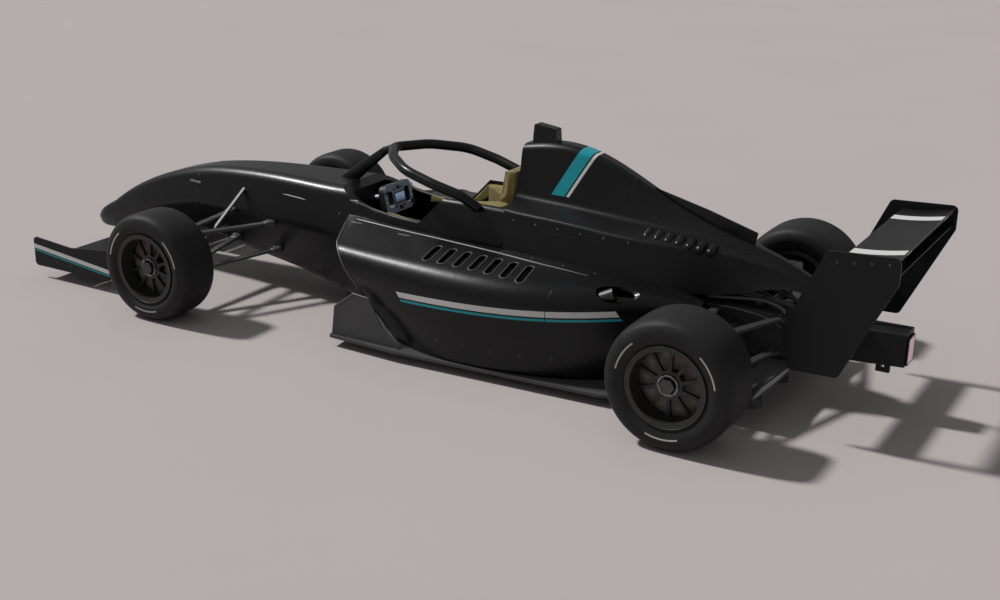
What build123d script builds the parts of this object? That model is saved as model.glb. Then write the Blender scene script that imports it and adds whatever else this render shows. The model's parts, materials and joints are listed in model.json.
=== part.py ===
"""Open wheel single seat racing car, in millimetres.

X points forward, Y to the left and Z up. The origin is on the ground below the middle of the
car's length. The body panels are lofted shells, the wings are extruded profiles, the suspension
arms are streamlined bars that end in bosses around the ball joint pins, and each wheel turns on
its own hub.
"""

import os
from collections import namedtuple
from math import cos, radians, sin

from build123d import *

# Overall layout
WHEELBASE = 2875
NOSE_OVERHANG = 1225
TAIL_OVERHANG = 780
FRONT_WIDTH = 1830
REAR_WIDTH = 1850
REAR_AXLE = -(WHEELBASE + NOSE_OVERHANG - TAIL_OVERHANG) / 2
FRONT_AXLE = REAR_AXLE + WHEELBASE

# Tyres and rims
FRONT_TYRE_RADIUS = 280
FRONT_TYRE_WIDTH = 250
REAR_TYRE_RADIUS = 290
REAR_TYRE_WIDTH = 300
SHOULDER_WIDTH = 36
SHOULDER_DROP = 22
RIM_INSET = 10
RIM_SEAT_RADIUS = 165
RIM_FLANGE_RADIUS = 180
RIM_FLANGE_THICKNESS = 7
RIM_BARREL_THICKNESS = 8
SPOKE_COUNT = 10
SPOKE_WIDTH = 15
SPOKE_THICKNESS = 20
SPOKE_RECESS = 42
SPOKE_DISH = 16
RIM_CENTRE_RADIUS = 52
WINDOW_MARGIN = 10
BEAD_FIT = 0.2

# Hubs, brakes and uprights
HUB_SHAFT_RADIUS = 28
HUB_FIT = 0.05
HUB_FLANGE_RADIUS = 44
NUT_RADIUS = 35
NUT_SIDES = 6
NUT_LENGTH = 24
DISC_RADIUS = 125
DISC_THICKNESS = 18
CALIPER_SPAN = 55
CALIPER_INNER_RADIUS = 82
CALIPER_WALL = 12
RUNNING_GAP = 5
BEARING_RADIUS = 46
UPRIGHT_THICKNESS = 54
POST_LENGTH = 48
POST_WIDTH = 38
CALIPER_ARM_LENGTH = 102
CALIPER_ARM_HEIGHT = 44
BALL_OFFSET = 75
UPPER_BALL_RISE = 120
LOWER_BALL_DROP = 90
BALL_BOSS_RADIUS = 20
BALL_BOSS_HEIGHT = 24
BALL_PIN_RADIUS = 9
BALL_FIT = 0.05
AXIAL_GAP = 0.3

# Suspension bars and steering
ARM_CHORD = 44
ARM_THICKNESS = 15
ROD_CHORD = 26
ROD_THICKNESS = 14
FOOT_DEPTH = 60
STEER_ARM_REACH = 105
STEER_ARM_THICKNESS = 12
STEER_ARM_WIDTH = 27
TRACK_ROD_RISE = 25
TRACK_ROD_RADIUS = 9
RACK_FIT = 0.05
ROD_EYE_RADIUS = 17
ROD_EYE_BORE = 11
ROD_EYE_HEIGHT = 22
ROD_EYE_GAP = 1
ROD_PIN_RADIUS = 5
HALF_SHAFT_RADIUS = 16
COLUMN_TILT = 12
COLUMN_RADIUS = 21
COLUMN_LENGTH = 330
WHEEL_STEM_RADIUS = 14

# Tub, cockpit and floor
FLOOR_TOP = 58
FLOOR_THICKNESS = 14
PLANK_THICKNESS = 16
PLANK_HALF_WIDTH = 150
TUB_WALL = 28
TUB_FLOOR = 25
TUB_TAIL = 1158
PANEL_WALL = 12
COCKPIT_REAR = 1178
COCKPIT_FRONT = 2105
COCKPIT_HALF_WIDTH = 212
FIT = 0.3

# Wings
FRONT_WING_SPAN = 1400
REAR_WING_SPAN = 936
ENDPLATE_THICKNESS = 9
TRAILING_EDGE = 4
FLAP_INNER_Y = 176

os.makedirs("parts", exist_ok=True)

Corner = namedtuple("Corner", "axle radius width outer_y")
CORNERS = {
    "front": Corner(FRONT_AXLE, FRONT_TYRE_RADIUS, FRONT_TYRE_WIDTH, FRONT_WIDTH / 2),
    "rear": Corner(REAR_AXLE, REAR_TYRE_RADIUS, REAR_TYRE_WIDTH, REAR_WIDTH / 2),
}
SIDES = {"left": 1, "right": -1}


def finish(builder, name):
    """Label a finished piece and write it out as its own file."""
    builder.part.label = name
    export_step(builder.part, f"parts/{name}.step")


def ahead_of_front(distance):
    """X of a point given as its distance ahead of the front axle."""
    return FRONT_AXLE + distance


def ahead_of_rear(distance):
    """X of a point given as its distance ahead of the rear axle."""
    return REAR_AXLE + distance


def station(x):
    """Cross plane at x, with its first axis to the left and its second axis up."""
    return Plane(origin=(x, 0, 0), x_dir=(0, 1, 0), z_dir=(1, 0, 0))


def ring_section(x, corners):
    """Closed cross section at x through rounded corners given as (y, z, radius)."""
    with BuildSketch(station(x)) as section:
        with BuildLine():
            FilletPolyline(
                *[(y, z) for y, z, _ in corners],
                radius=[radius for _, _, radius in corners],
                close=True,
            )
        make_face()
    return section.sketch


def mirrored(corners):
    """Left half of a section, top to bottom, closed by its mirror image."""
    return corners + [(-y, z, radius) for y, z, radius in reversed(corners)]


def side_outline(corners, radius=0):
    """Outline in the plane of symmetry through (x, z) corners with one corner radius."""
    with BuildSketch(Plane.XZ) as outline:
        with BuildLine():
            FilletPolyline(*corners, radius=radius, close=True)
        make_face()
    return outline.sketch


def plan_outline(half, z, radius):
    """Outline seen from above at height z, mirrored from its left half of (x, y) corners."""
    corners = half + [(x, -y) for x, y in reversed(half)]
    with BuildSketch(Plane.XY.offset(z)) as outline:
        with BuildLine():
            FilletPolyline(*corners, radius=radius, close=True)
        make_face()
    return outline.sketch


def streamlined_bar(start, end, chord, thickness):
    """Bar of flat oval section from start to end, its long axis along the air stream."""
    run = Vector(*end) - Vector(*start)
    with BuildPart() as bar:
        with BuildSketch(Plane(origin=start, x_dir=(1, 0, 0), z_dir=run)):
            SlotOverall(chord, thickness)
        extrude(amount=run.length)
    return bar.part


def round_bar(start, end, radius):
    """Round bar from start to end."""
    run = Vector(*end) - Vector(*start)
    with BuildPart() as bar:
        with BuildSketch(Plane(origin=start, x_dir=(1, 0, 0), z_dir=run)):
            Circle(radius)
        extrude(amount=run.length)
    return bar.part


# Body sections of the nose and the tub
BodySection = namedtuple(
    "BodySection", "x top_y top_z top_r side_y side_z side_r belly_y belly_z belly_r"
)
NOSE_TIP = FRONT_AXLE + NOSE_OVERHANG
NOSE_JOINT = BodySection(ahead_of_front(310), 112, 604, 70, 160, 415, 60, 116, 235, 60)
TIP_JOINT = BodySection(NOSE_TIP - 165, 58, 292, 42, 92, 200, 40, 62, 120, 34)
NOSE_MIDDLE = BodySection(NOSE_TIP - 665, 96, 538, 62, 140, 365, 56, 100, 200, 52)
TUB_FRONT = BodySection(ahead_of_front(20), 136, 639, 72, 186, 420, 70, 136, 200, 64)
NOSE_SECTIONS = [
    TIP_JOINT,
    BodySection(NOSE_TIP - 415, 78, 440, 54, 118, 290, 50, 82, 158, 44),
    NOSE_MIDDLE,
    NOSE_JOINT,
    TUB_FRONT,
]
TIP_SECTIONS = [
    BodySection(NOSE_TIP, 20, 188, 12, 34, 162, 16, 22, 134, 12),
    BodySection(NOSE_TIP - 55, 42, 230, 30, 70, 174, 30, 46, 117, 26),
    BodySection(NOSE_TIP - 110, 51, 262, 37, 83, 187, 36, 55, 117, 31),
    TIP_JOINT,
]
TIP_ROUND = 10
# The tub runs a little below the top of the floor, whose plane then cuts it flat
TUB_BASE = FLOOR_TOP - 16
TUB_SECTIONS = [
    NOSE_MIDDLE,
    NOSE_JOINT,
    TUB_FRONT,
    BodySection(ahead_of_front(-275), 158, 652, 72, 216, 420, 80, 158, 165, 64),
    BodySection(ahead_of_rear(2200), 190, 656, 72, 258, 420, 80, 205, 108, 60),
    BodySection(ahead_of_rear(1900), 222, 690, 60, 284, 400, 80, 245, TUB_BASE, 40),
]
COCKPIT_SECTIONS = [
    TUB_SECTIONS[-1],
    BodySection(ahead_of_rear(1520), 232, 704, 40, 290, 400, 80, 250, TUB_BASE, 30),
    BodySection(ahead_of_rear(TUB_TAIL), 236, 704, 40, 290, 400, 80, 250, TUB_BASE, 30),
]
JOINT_PLANE = station(NOSE_JOINT.x)
INNER_ROUND = 0.5
BELLY_ROUND = 0.8


def body_face(row, wall=0, floor=0):
    """Cross section of the nose or tub, moved inwards by a wall and up by a floor."""
    corners = [
        (row.top_y - wall, row.top_z - wall, row.top_r - wall * INNER_ROUND),
        (row.side_y - wall, row.side_z, row.side_r),
        (row.belly_y - wall, row.belly_z + floor, row.belly_r * BELLY_ROUND),
    ]
    return ring_section(row.x, mirrored(corners))


# Nose cone
with BuildPart() as nose_cone:
    loft(sections=[body_face(row) for row in NOSE_SECTIONS])
    split(bisect_by=JOINT_PLANE, keep=Keep.TOP)
    loft(sections=[body_face(row) for row in TIP_SECTIONS])
    fillet(nose_cone.faces().sort_by(Axis.X)[-1].edges(), TIP_ROUND)
finish(nose_cone, "nose_cone")

# Tub without its cockpit, also used to trim what seats on it
COCKPIT_RIM = [
    (ahead_of_rear(2240), 680),
    (ahead_of_rear(2060), 612),
    (ahead_of_rear(1950), 580),
    (ahead_of_rear(1830), 564),
    (ahead_of_rear(1640), 562),
    (ahead_of_rear(1510), 700),
    (ahead_of_rear(1470), 800),
    (ahead_of_rear(2240), 800),
]
RIM_BLEND = 30
RIM_CUT_HALF_WIDTH = 400
with BuildPart() as tub_skin:
    loft(sections=[body_face(row) for row in TUB_SECTIONS])
    split(bisect_by=JOINT_PLANE, keep=Keep.BOTTOM)
    loft(sections=[body_face(row) for row in COCKPIT_SECTIONS])
    with BuildSketch(Plane.XZ):
        add(side_outline(COCKPIT_RIM, RIM_BLEND))
    extrude(amount=RIM_CUT_HALF_WIDTH, both=True, mode=Mode.SUBTRACT)
    split(bisect_by=Plane.XY.offset(FLOOR_TOP), keep=Keep.TOP)

# Leg space inside the tub
with BuildPart() as leg_space:
    loft(sections=[body_face(row, TUB_WALL, TUB_FLOOR) for row in TUB_SECTIONS[2:]])

# Monocoque
COCKPIT_PLAN = [
    (ahead_of_rear(COCKPIT_REAR), COCKPIT_HALF_WIDTH),
    (ahead_of_rear(1880), COCKPIT_HALF_WIDTH),
    (ahead_of_rear(COCKPIT_FRONT), 120),
]
COCKPIT_CORNER = 30
COCKPIT_DEPTH = 700
TRACK_ROD_HEIGHT = FRONT_TYRE_RADIUS + TRACK_ROD_RISE
TRACK_ROD_X = ahead_of_front(STEER_ARM_REACH)
with BuildPart() as monocoque:
    add(tub_skin.part)
    add(leg_space.part, mode=Mode.SUBTRACT)
    with BuildSketch(Plane.XY.offset(FLOOR_TOP + TUB_FLOOR)):
        add(plan_outline(COCKPIT_PLAN, 0, COCKPIT_CORNER))
    extrude(amount=COCKPIT_DEPTH, mode=Mode.SUBTRACT)
    with BuildSketch(Plane(origin=(TRACK_ROD_X, 0, TRACK_ROD_HEIGHT), z_dir=(0, 1, 0))):
        Circle(TRACK_ROD_RADIUS + RACK_FIT)
    extrude(amount=RIM_CUT_HALF_WIDTH, both=True, mode=Mode.SUBTRACT)
finish(monocoque, "monocoque")

# Sidepods
PodSection = namedtuple(
    "PodSection", "x inner_y top_z shoulder_y shoulder_z shoulder_r low_y low_z base_y"
)
POD_SECTIONS = [
    PodSection(ahead_of_rear(2080), 250, 548, 653, 509, 90, 560, 300, 340),
    PodSection(ahead_of_rear(1750), 276, 542, 706, 492, 100, 590, 250, 420),
    PodSection(ahead_of_rear(1320), 282, 532, 690, 497, 125, 672, 240, 645),
    PodSection(ahead_of_rear(980), 282, 524, 679, 492, 125, 668, 240, 645),
    PodSection(ahead_of_rear(700), 280, 515, 615, 480, 115, 605, 240, 580),
    PodSection(ahead_of_rear(400), 240, 500, 455, 454, 85, 430, 220, 400),
    PodSection(ahead_of_rear(130), 165, 452, 293, 385, 60, 270, 200, 250),
]
POD_EDGE_ROUND = 14
POD_LOW_ROUND = 70
INLET_LIP = (ahead_of_rear(2035), 300, 540)
INLET_SWEEP = 22
INLET_RAKE = 32
LOUVRE_COUNT = 7
LOUVRE_LENGTH = 180
LOUVRE_WIDTH = 38
LOUVRE_SLANT = 11
LOUVRE_FRONT = ahead_of_rear(1395)
LOUVRE_PITCH = 84
LOUVRE_Y = 500
LOUVRE_DEPTH = 115


def pod_face(row, wall=0):
    """Cross section of the left sidepod, moved inwards by a wall."""
    corners = [
        (row.inner_y + wall, row.top_z - wall, POD_EDGE_ROUND),
        (row.shoulder_y - wall, row.shoulder_z - wall, row.shoulder_r - wall),
        (row.low_y - wall, row.low_z, POD_LOW_ROUND),
        (row.base_y - wall, FLOOR_TOP + wall, POD_EDGE_ROUND),
        (row.inner_y + wall, FLOOR_TOP + wall, 0),
    ]
    return ring_section(row.x, corners)


# Swept and raked plane that cuts the left sidepod's mouth
INLET_PLANE = Plane(
    origin=INLET_LIP,
    z_dir=(
        cos(radians(INLET_RAKE)) * cos(radians(INLET_SWEEP)),
        cos(radians(INLET_RAKE)) * sin(radians(INLET_SWEEP)),
        -sin(radians(INLET_RAKE)),
    ),
)

# Outer form of the left sidepod, and the air space inside it
with BuildPart() as pod_skin:
    loft(sections=[pod_face(row) for row in POD_SECTIONS])
    split(bisect_by=INLET_PLANE, keep=Keep.BOTTOM)
with BuildPart() as pod_space:
    loft(sections=[pod_face(row, PANEL_WALL) for row in POD_SECTIONS])

# Shell that both sidepods share, with slanted louvres in its top
with BuildPart() as pod_shell:
    add(pod_skin.part)
    add(pod_space.part, mode=Mode.SUBTRACT)
    add(tub_skin.part, mode=Mode.SUBTRACT)
    with BuildSketch(Plane.XY.offset(POD_SECTIONS[0].top_z)):
        for slot in range(LOUVRE_COUNT):
            slot_middle = (LOUVRE_FRONT - slot * LOUVRE_PITCH, LOUVRE_Y)
            with Locations(Location(slot_middle, 90 + LOUVRE_SLANT)):
                SlotOverall(LOUVRE_LENGTH, LOUVRE_WIDTH)
    extrude(amount=-LOUVRE_DEPTH, mode=Mode.SUBTRACT)

# Exhaust route from the engine's left side out through the left sidepod
EXHAUST_RADIUS = 32
EXHAUST_WALL = 3
EXHAUST_CLEARANCE = 18
ENGINE_HALF_WIDTH = 195
EXHAUST_START = [
    (ahead_of_rear(800), ENGINE_HALF_WIDTH, 330),
    (ahead_of_rear(735), 400, 345),
    (ahead_of_rear(640), 480, 385),
]
EXHAUST_MOUTH = (ahead_of_rear(470), 429, 463)
EXHAUST_PATH_OUT = (ahead_of_rear(307), 381, 538)
EXHAUST_BEND = 60


def exhaust_tube(radius, end):
    """Round tube along the exhaust route to its end."""
    with BuildPart() as tube:
        with BuildLine() as route:
            FilletPolyline(*EXHAUST_START, end, radius=EXHAUST_BEND)
        with BuildSketch(Plane(origin=route.line @ 0, z_dir=route.line % 0)):
            Circle(radius)
        sweep(path=route.line)
    return tube.part


# Left sidepod, with room for the exhaust, and right sidepod
with BuildPart() as sidepod_left:
    add(pod_shell.part)
    add(exhaust_tube(EXHAUST_RADIUS + EXHAUST_CLEARANCE, EXHAUST_PATH_OUT), mode=Mode.SUBTRACT)
finish(sidepod_left, "sidepod_left")
with BuildPart() as sidepod_right:
    mirror(pod_shell.part, about=Plane.XZ)
finish(sidepod_right, "sidepod_right")

# Radiators, one in each sidepod
RADIATOR_X = ahead_of_rear(1480)
RADIATOR_THICKNESS = 60
RADIATOR_REACH = 1600
with BuildPart() as radiators:
    add(pod_space.part)
    with Locations((RADIATOR_X, 0, 0)):
        Box(RADIATOR_THICKNESS, RADIATOR_REACH, RADIATOR_REACH, mode=Mode.INTERSECT)
    add(tub_skin.part, mode=Mode.SUBTRACT)
    mirror(about=Plane.XZ)
finish(radiators, "radiators")

# Engine cover
CoverSection = namedtuple(
    "CoverSection", "x top_y top_z top_r neck_y neck_z neck_r ridge_y ridge_z ridge_r base_y base_z"
)
COVER_SECTIONS = [
    CoverSection(ahead_of_rear(TUB_TAIL), 72, 990, 48, 112, 748, 40, 240, 704, 24, 268, 500),
    CoverSection(ahead_of_rear(960), 58, 1010, 44, 112, 738, 40, 246, 696, 24, 292, 485),
    CoverSection(ahead_of_rear(700), 42, 953, 30, 116, 725, 40, 250, 684, 24, 300, 475),
    CoverSection(ahead_of_rear(440), 24, 832, 16, 108, 706, 40, 240, 668, 24, 275, 465),
    CoverSection(ahead_of_rear(200), 20, 732, 12, 84, 684, 30, 190, 656, 20, 224, 456),
    CoverSection(ahead_of_rear(-60), 18, 654, 10, 50, 634, 20, 108, 614, 16, 162, 496),
    CoverSection(ahead_of_rear(-310), 14, 548, 8, 26, 538, 10, 50, 524, 10, 78, 492),
]
INTAKE_HALF_WIDTH = 46
INTAKE_BOTTOM = 860
INTAKE_TOP = 962
INTAKE_ROUND = 34
INTAKE_DEPTH = 260


def cover_face(row, wall=0, rounded=True):
    """Cross section of the engine cover, moved inwards by a wall and left open below."""
    sharp = 1 if rounded else 0
    corners = [
        (row.top_y - wall, row.top_z - wall, row.top_r * sharp),
        (row.neck_y - wall, row.neck_z - wall, row.neck_r * sharp),
        (row.ridge_y - wall, row.ridge_z - wall, row.ridge_r * sharp),
        (row.base_y - wall, row.base_z - wall, 0),
    ]
    return ring_section(row.x, mirrored(corners))


# Row of rounded gills along the foot of the spine, on the left
GILL_COUNT = 7
GILL_FRONT = (ahead_of_rear(440), 686)
GILL_REAR = (ahead_of_rear(128), 664)
GILL_INNER_Y = 138
GILL_OUTER_Y = 180
GILL_FALL = 14
GILL_RADIUS = 21
with BuildPart() as gills:
    for gill in range(GILL_COUNT):
        share = gill / (GILL_COUNT - 1)
        gill_x = GILL_FRONT[0] + share * (GILL_REAR[0] - GILL_FRONT[0])
        gill_z = GILL_FRONT[1] + share * (GILL_REAR[1] - GILL_FRONT[1])
        gill_top = Vector(gill_x, GILL_INNER_Y, gill_z)
        gill_run = Vector(0, GILL_OUTER_Y - GILL_INNER_Y, -GILL_FALL)
        with BuildSketch(Plane(origin=gill_top, x_dir=gill_run, z_dir=(1, 0, 0))):
            with BuildLine():
                Line((-GILL_RADIUS, 0), (gill_run.length + GILL_RADIUS, 0))
                ThreePointArc(
                    (-GILL_RADIUS, 0),
                    (-GILL_RADIUS * cos(radians(45)), GILL_RADIUS * sin(radians(45))),
                    (0, GILL_RADIUS),
                )
                Line((0, GILL_RADIUS), (gill_run.length, GILL_RADIUS))
                ThreePointArc(
                    (gill_run.length, GILL_RADIUS),
                    (gill_run.length + GILL_RADIUS * cos(radians(45)), GILL_RADIUS * sin(radians(45))),
                    (gill_run.length + GILL_RADIUS, 0),
                )
            make_face()
        revolve(axis=Axis(gill_top, gill_run))

with BuildPart() as cover_skin:
    loft(sections=[cover_face(row) for row in COVER_SECTIONS])

with BuildPart() as engine_cover:
    add(cover_skin.part)
    add(gills.part)
    mirror(gills.part, about=Plane.XZ)
    loft(
        sections=[cover_face(row, PANEL_WALL, rounded=False) for row in COVER_SECTIONS[1:]],
        mode=Mode.SUBTRACT,
    )
    add(pod_skin.part, mode=Mode.SUBTRACT)
    mirror(pod_skin.part, about=Plane.XZ, mode=Mode.SUBTRACT)
    with BuildSketch(station(ahead_of_rear(TUB_TAIL))):
        with Locations((0, (INTAKE_BOTTOM + INTAKE_TOP) / 2)):
            RectangleRounded(2 * INTAKE_HALF_WIDTH, INTAKE_TOP - INTAKE_BOTTOM, INTAKE_ROUND)
    extrude(amount=-INTAKE_DEPTH, mode=Mode.SUBTRACT)
finish(engine_cover, "engine_cover")

# Fin along the spine of the engine cover
FIN_OUTLINE = [
    (ahead_of_rear(640), 900),
    (ahead_of_rear(467), 852),
    (ahead_of_rear(216), 791),
    (ahead_of_rear(-23), 721),
    (ahead_of_rear(-2), 600),
    (ahead_of_rear(300), 640),
]
FIN_THICKNESS = 9
with BuildPart() as shark_fin:
    with BuildSketch(Plane.XZ):
        add(side_outline(FIN_OUTLINE))
    extrude(amount=FIN_THICKNESS / 2, both=True)
    add(cover_skin.part, mode=Mode.SUBTRACT)
finish(shark_fin, "shark_fin")

# Camera pod above the intake
CAMERA_OUTLINE = [
    (ahead_of_rear(1128), 1020),
    (ahead_of_rear(1122), 1086),
    (ahead_of_rear(1004), 1070),
    (ahead_of_rear(998), 1000),
    (ahead_of_rear(1128), 970),
]
CAMERA_ROUND = 10
CAMERA_HALF_WIDTH = 26
with BuildPart() as camera_pod:
    with BuildSketch(Plane.XZ):
        add(side_outline(CAMERA_OUTLINE, CAMERA_ROUND))
    extrude(amount=CAMERA_HALF_WIDTH, both=True)
    add(cover_skin.part, mode=Mode.SUBTRACT)
finish(camera_pod, "camera_pod")

# Halo: a hoop of round tube on a front pylon
HALO_RADIUS = 25
HALO_HALF = [
    (ahead_of_rear(1300), 246, 690),
    (ahead_of_rear(1370), 288, 750),
    (ahead_of_rear(1520), 306, 790),
    (ahead_of_rear(1690), 293, 832),
    (ahead_of_rear(1850), 165, 857),
    (ahead_of_rear(1945), 20, 858),
]
HALO_ROUND = [60, 240, 200, 250, 60]
PYLON_TOP = (ahead_of_rear(2005), 840)
PYLON_BASE = (ahead_of_rear(2290), 620)
PYLON_TOP_SIZE = (34, 14)
PYLON_BASE_SIZE = (66, 16)
PYLON_ROOT = (ahead_of_rear(2022), 828)
PYLON_ROOT_RADIUS = 21
with BuildPart() as halo:
    with BuildLine() as hoop:
        FilletPolyline(
            *HALO_HALF,
            *[(x, -y, z) for x, y, z in reversed(HALO_HALF)],
            radius=HALO_ROUND + HALO_ROUND[::-1],
        )
    with BuildSketch(Plane(origin=hoop.line @ 0, z_dir=hoop.line % 0)):
        Circle(HALO_RADIUS)
    sweep(path=hoop.line)
    with BuildSketch(Plane.XY.offset(PYLON_TOP[1])):
        with Locations((PYLON_TOP[0], 0)):
            Ellipse(*PYLON_TOP_SIZE)
    with BuildSketch(Plane.XY.offset(PYLON_BASE[1])):
        with Locations((PYLON_BASE[0], 0)):
            Ellipse(*PYLON_BASE_SIZE)
    loft()
    hoop_front = (HALO_HALF[-1][0], 0, HALO_HALF[-1][2])
    add(round_bar((PYLON_ROOT[0], 0, PYLON_ROOT[1]), hoop_front, PYLON_ROOT_RADIUS))
    add(tub_skin.part, mode=Mode.SUBTRACT)
finish(halo, "halo")

# Padded cockpit surround with the headrest
HEADREST_SIDE = [
    (ahead_of_rear(COCKPIT_REAR) + FIT, 596),
    (ahead_of_rear(COCKPIT_REAR) + FIT, 862),
    (ahead_of_rear(1240), 858),
    (ahead_of_rear(1262), 700),
    (ahead_of_rear(1370), 640),
    (ahead_of_rear(1370), 596),
]
HEADREST_ROUND = 12
HEADREST_HALF_WIDTH = 118
COLLAR_BOTTOM = 596
COLLAR_TOP = 690
COLLAR_WIDTH = 48
COLLAR_FRONT = 1490
COLLAR_INNER = 98
COLLAR_NECK = 1300
COLLAR_OUTER = COCKPIT_HALF_WIDTH - FIT
RIM_PAD_WIDTH = 18
RIM_PAD_SIDE = [
    (ahead_of_rear(1470), 690),
    (ahead_of_rear(1508), 690),
    (ahead_of_rear(1636), 566),
    (ahead_of_rear(1870), 572),
    (ahead_of_rear(1870), 530),
    (ahead_of_rear(1620), 520),
    (ahead_of_rear(1470), 640),
]
with BuildPart() as cockpit_surround:
    with BuildSketch(Plane.XZ):
        add(side_outline(HEADREST_SIDE, HEADREST_ROUND))
    extrude(amount=HEADREST_HALF_WIDTH, both=True)
    with BuildSketch(Plane.XY.offset(COLLAR_BOTTOM)):
        with BuildLine():
            Polyline(
                (ahead_of_rear(COCKPIT_REAR + COCKPIT_CORNER), COLLAR_OUTER),
                (ahead_of_rear(COLLAR_FRONT), COLLAR_OUTER),
                (ahead_of_rear(COLLAR_FRONT), COLLAR_OUTER - COLLAR_WIDTH),
                (ahead_of_rear(COLLAR_NECK), COLLAR_INNER),
                (ahead_of_rear(COCKPIT_REAR + COCKPIT_CORNER), COLLAR_INNER),
                close=True,
            )
        make_face()
        mirror(about=Plane.XZ)
    extrude(amount=COLLAR_TOP - COLLAR_BOTTOM)
    for side in SIDES.values():
        with BuildSketch(Plane.XZ.offset(-side * COLLAR_OUTER)):
            add(side_outline(RIM_PAD_SIDE))
        extrude(amount=side * RIM_PAD_WIDTH)
finish(cockpit_surround, "cockpit_surround")

# Seat shell
SEAT_FLOOR = FLOOR_TOP + TUB_FLOOR
SEAT_SIDE = [
    (ahead_of_rear(1262), 585),
    (ahead_of_rear(1296), 585),
    (ahead_of_rear(1610), 170),
    (ahead_of_rear(1790), 150),
    (ahead_of_rear(1890), 190),
    (ahead_of_rear(1890), SEAT_FLOOR),
    (ahead_of_rear(1530), SEAT_FLOOR),
]
SEAT_HALF_WIDTH = 180
SEAT_TROUGH = [
    (ahead_of_rear(1272), 600),
    (ahead_of_rear(1590), 150),
    (ahead_of_rear(1790), 122),
    (ahead_of_rear(1900), 160),
    (ahead_of_rear(1900), 600),
]
SEAT_TROUGH_ROUND = 60
SEAT_TROUGH_HALF_WIDTH = 142
with BuildPart() as seat:
    with BuildSketch(Plane.XZ):
        add(side_outline(SEAT_SIDE))
    extrude(amount=SEAT_HALF_WIDTH, both=True)
    with BuildSketch(Plane.XZ):
        add(side_outline(SEAT_TROUGH, SEAT_TROUGH_ROUND))
    extrude(amount=SEAT_TROUGH_HALF_WIDTH, both=True, mode=Mode.SUBTRACT)
finish(seat, "seat")

# Steering column and steering wheel on one tilted axis
STEERING_CENTRE = Vector(ahead_of_rear(1930), 0, 598)
COLUMN_AXIS = Vector(cos(radians(COLUMN_TILT)), 0, -sin(radians(COLUMN_TILT)))
COLUMN_PLANE = Plane(origin=STEERING_CENTRE, x_dir=(0, 1, 0), z_dir=COLUMN_AXIS)
STEERING_BODY = 34
STEERING_WIDTH = 240
STEERING_HEIGHT = 150
STEERING_ROUND = 34
GRIP_OFFSET = 74
GRIP_WIDTH = 44
GRIP_HEIGHT = 86
GRIP_ROUND = 18
SCREEN_WIDTH = 92
SCREEN_HEIGHT = 56
SCREEN_PROUD = 6
COLUMN_START = 45
STEM_LENGTH = 90
BRACKET_X = 2190
BRACKET_THICKNESS = 16
BRACKET_BOTTOM = 500
BRACKET_REACH = 600
with BuildPart() as steering_column:
    add(leg_space.part)
    with Locations((ahead_of_rear(BRACKET_X), 0, BRACKET_BOTTOM + BRACKET_REACH / 2)):
        Box(BRACKET_THICKNESS, BRACKET_REACH, BRACKET_REACH, mode=Mode.INTERSECT)
    with BuildSketch(COLUMN_PLANE.offset(COLUMN_START)):
        Circle(COLUMN_RADIUS)
    extrude(amount=COLUMN_LENGTH)
    with BuildSketch(COLUMN_PLANE.offset(COLUMN_START)):
        Circle(WHEEL_STEM_RADIUS + HUB_FIT)
    extrude(amount=STEM_LENGTH, mode=Mode.SUBTRACT)
finish(steering_column, "steering_column")

with BuildPart() as steering_wheel:
    with BuildSketch(COLUMN_PLANE):
        RectangleRounded(STEERING_WIDTH, STEERING_HEIGHT, STEERING_ROUND)
        with Locations((-GRIP_OFFSET, 0), (GRIP_OFFSET, 0)):
            RectangleRounded(GRIP_WIDTH, GRIP_HEIGHT, GRIP_ROUND, mode=Mode.SUBTRACT)
    extrude(amount=STEERING_BODY)
    with BuildSketch(COLUMN_PLANE.offset(-SCREEN_PROUD)):
        RectangleRounded(SCREEN_WIDTH, SCREEN_HEIGHT, SCREEN_PROUD)
    extrude(amount=SCREEN_PROUD)
    with BuildSketch(COLUMN_PLANE.offset(STEERING_BODY)):
        Circle(WHEEL_STEM_RADIUS)
    extrude(amount=COLUMN_START - STEERING_BODY + STEM_LENGTH - RUNNING_GAP)
finish(steering_wheel, "steering_wheel")

# Floor with its front tray
FLOOR_HALF = [
    (ahead_of_rear(2190), 130),
    (ahead_of_rear(1960), 215),
    (ahead_of_rear(1925), 360),
    (ahead_of_rear(1890), 675),
    (ahead_of_rear(1500), 690),
    (ahead_of_rear(430), 630),
    (ahead_of_rear(345), 592),
    (ahead_of_rear(-40), 585),
]
FLOOR_ROUND = 14
with BuildPart() as floor:
    with BuildSketch(Plane.XY.offset(FLOOR_TOP - FLOOR_THICKNESS)):
        add(plan_outline(FLOOR_HALF, 0, FLOOR_ROUND))
    extrude(amount=FLOOR_THICKNESS)
finish(floor, "floor")

# Skid plank below the floor
PLANK_TOP = FLOOR_TOP - FLOOR_THICKNESS
PLANK_FRONT = ahead_of_rear(2100)
PLANK_REAR = ahead_of_rear(120)
PLANK_ROUND = 40
with BuildPart() as plank:
    with BuildSketch(Plane.XY.offset(PLANK_TOP - PLANK_THICKNESS)):
        with Locations(((PLANK_FRONT + PLANK_REAR) / 2, 0)):
            RectangleRounded(PLANK_FRONT - PLANK_REAR, 2 * PLANK_HALF_WIDTH, PLANK_ROUND)
    extrude(amount=PLANK_THICKNESS)
finish(plank, "plank")

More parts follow.
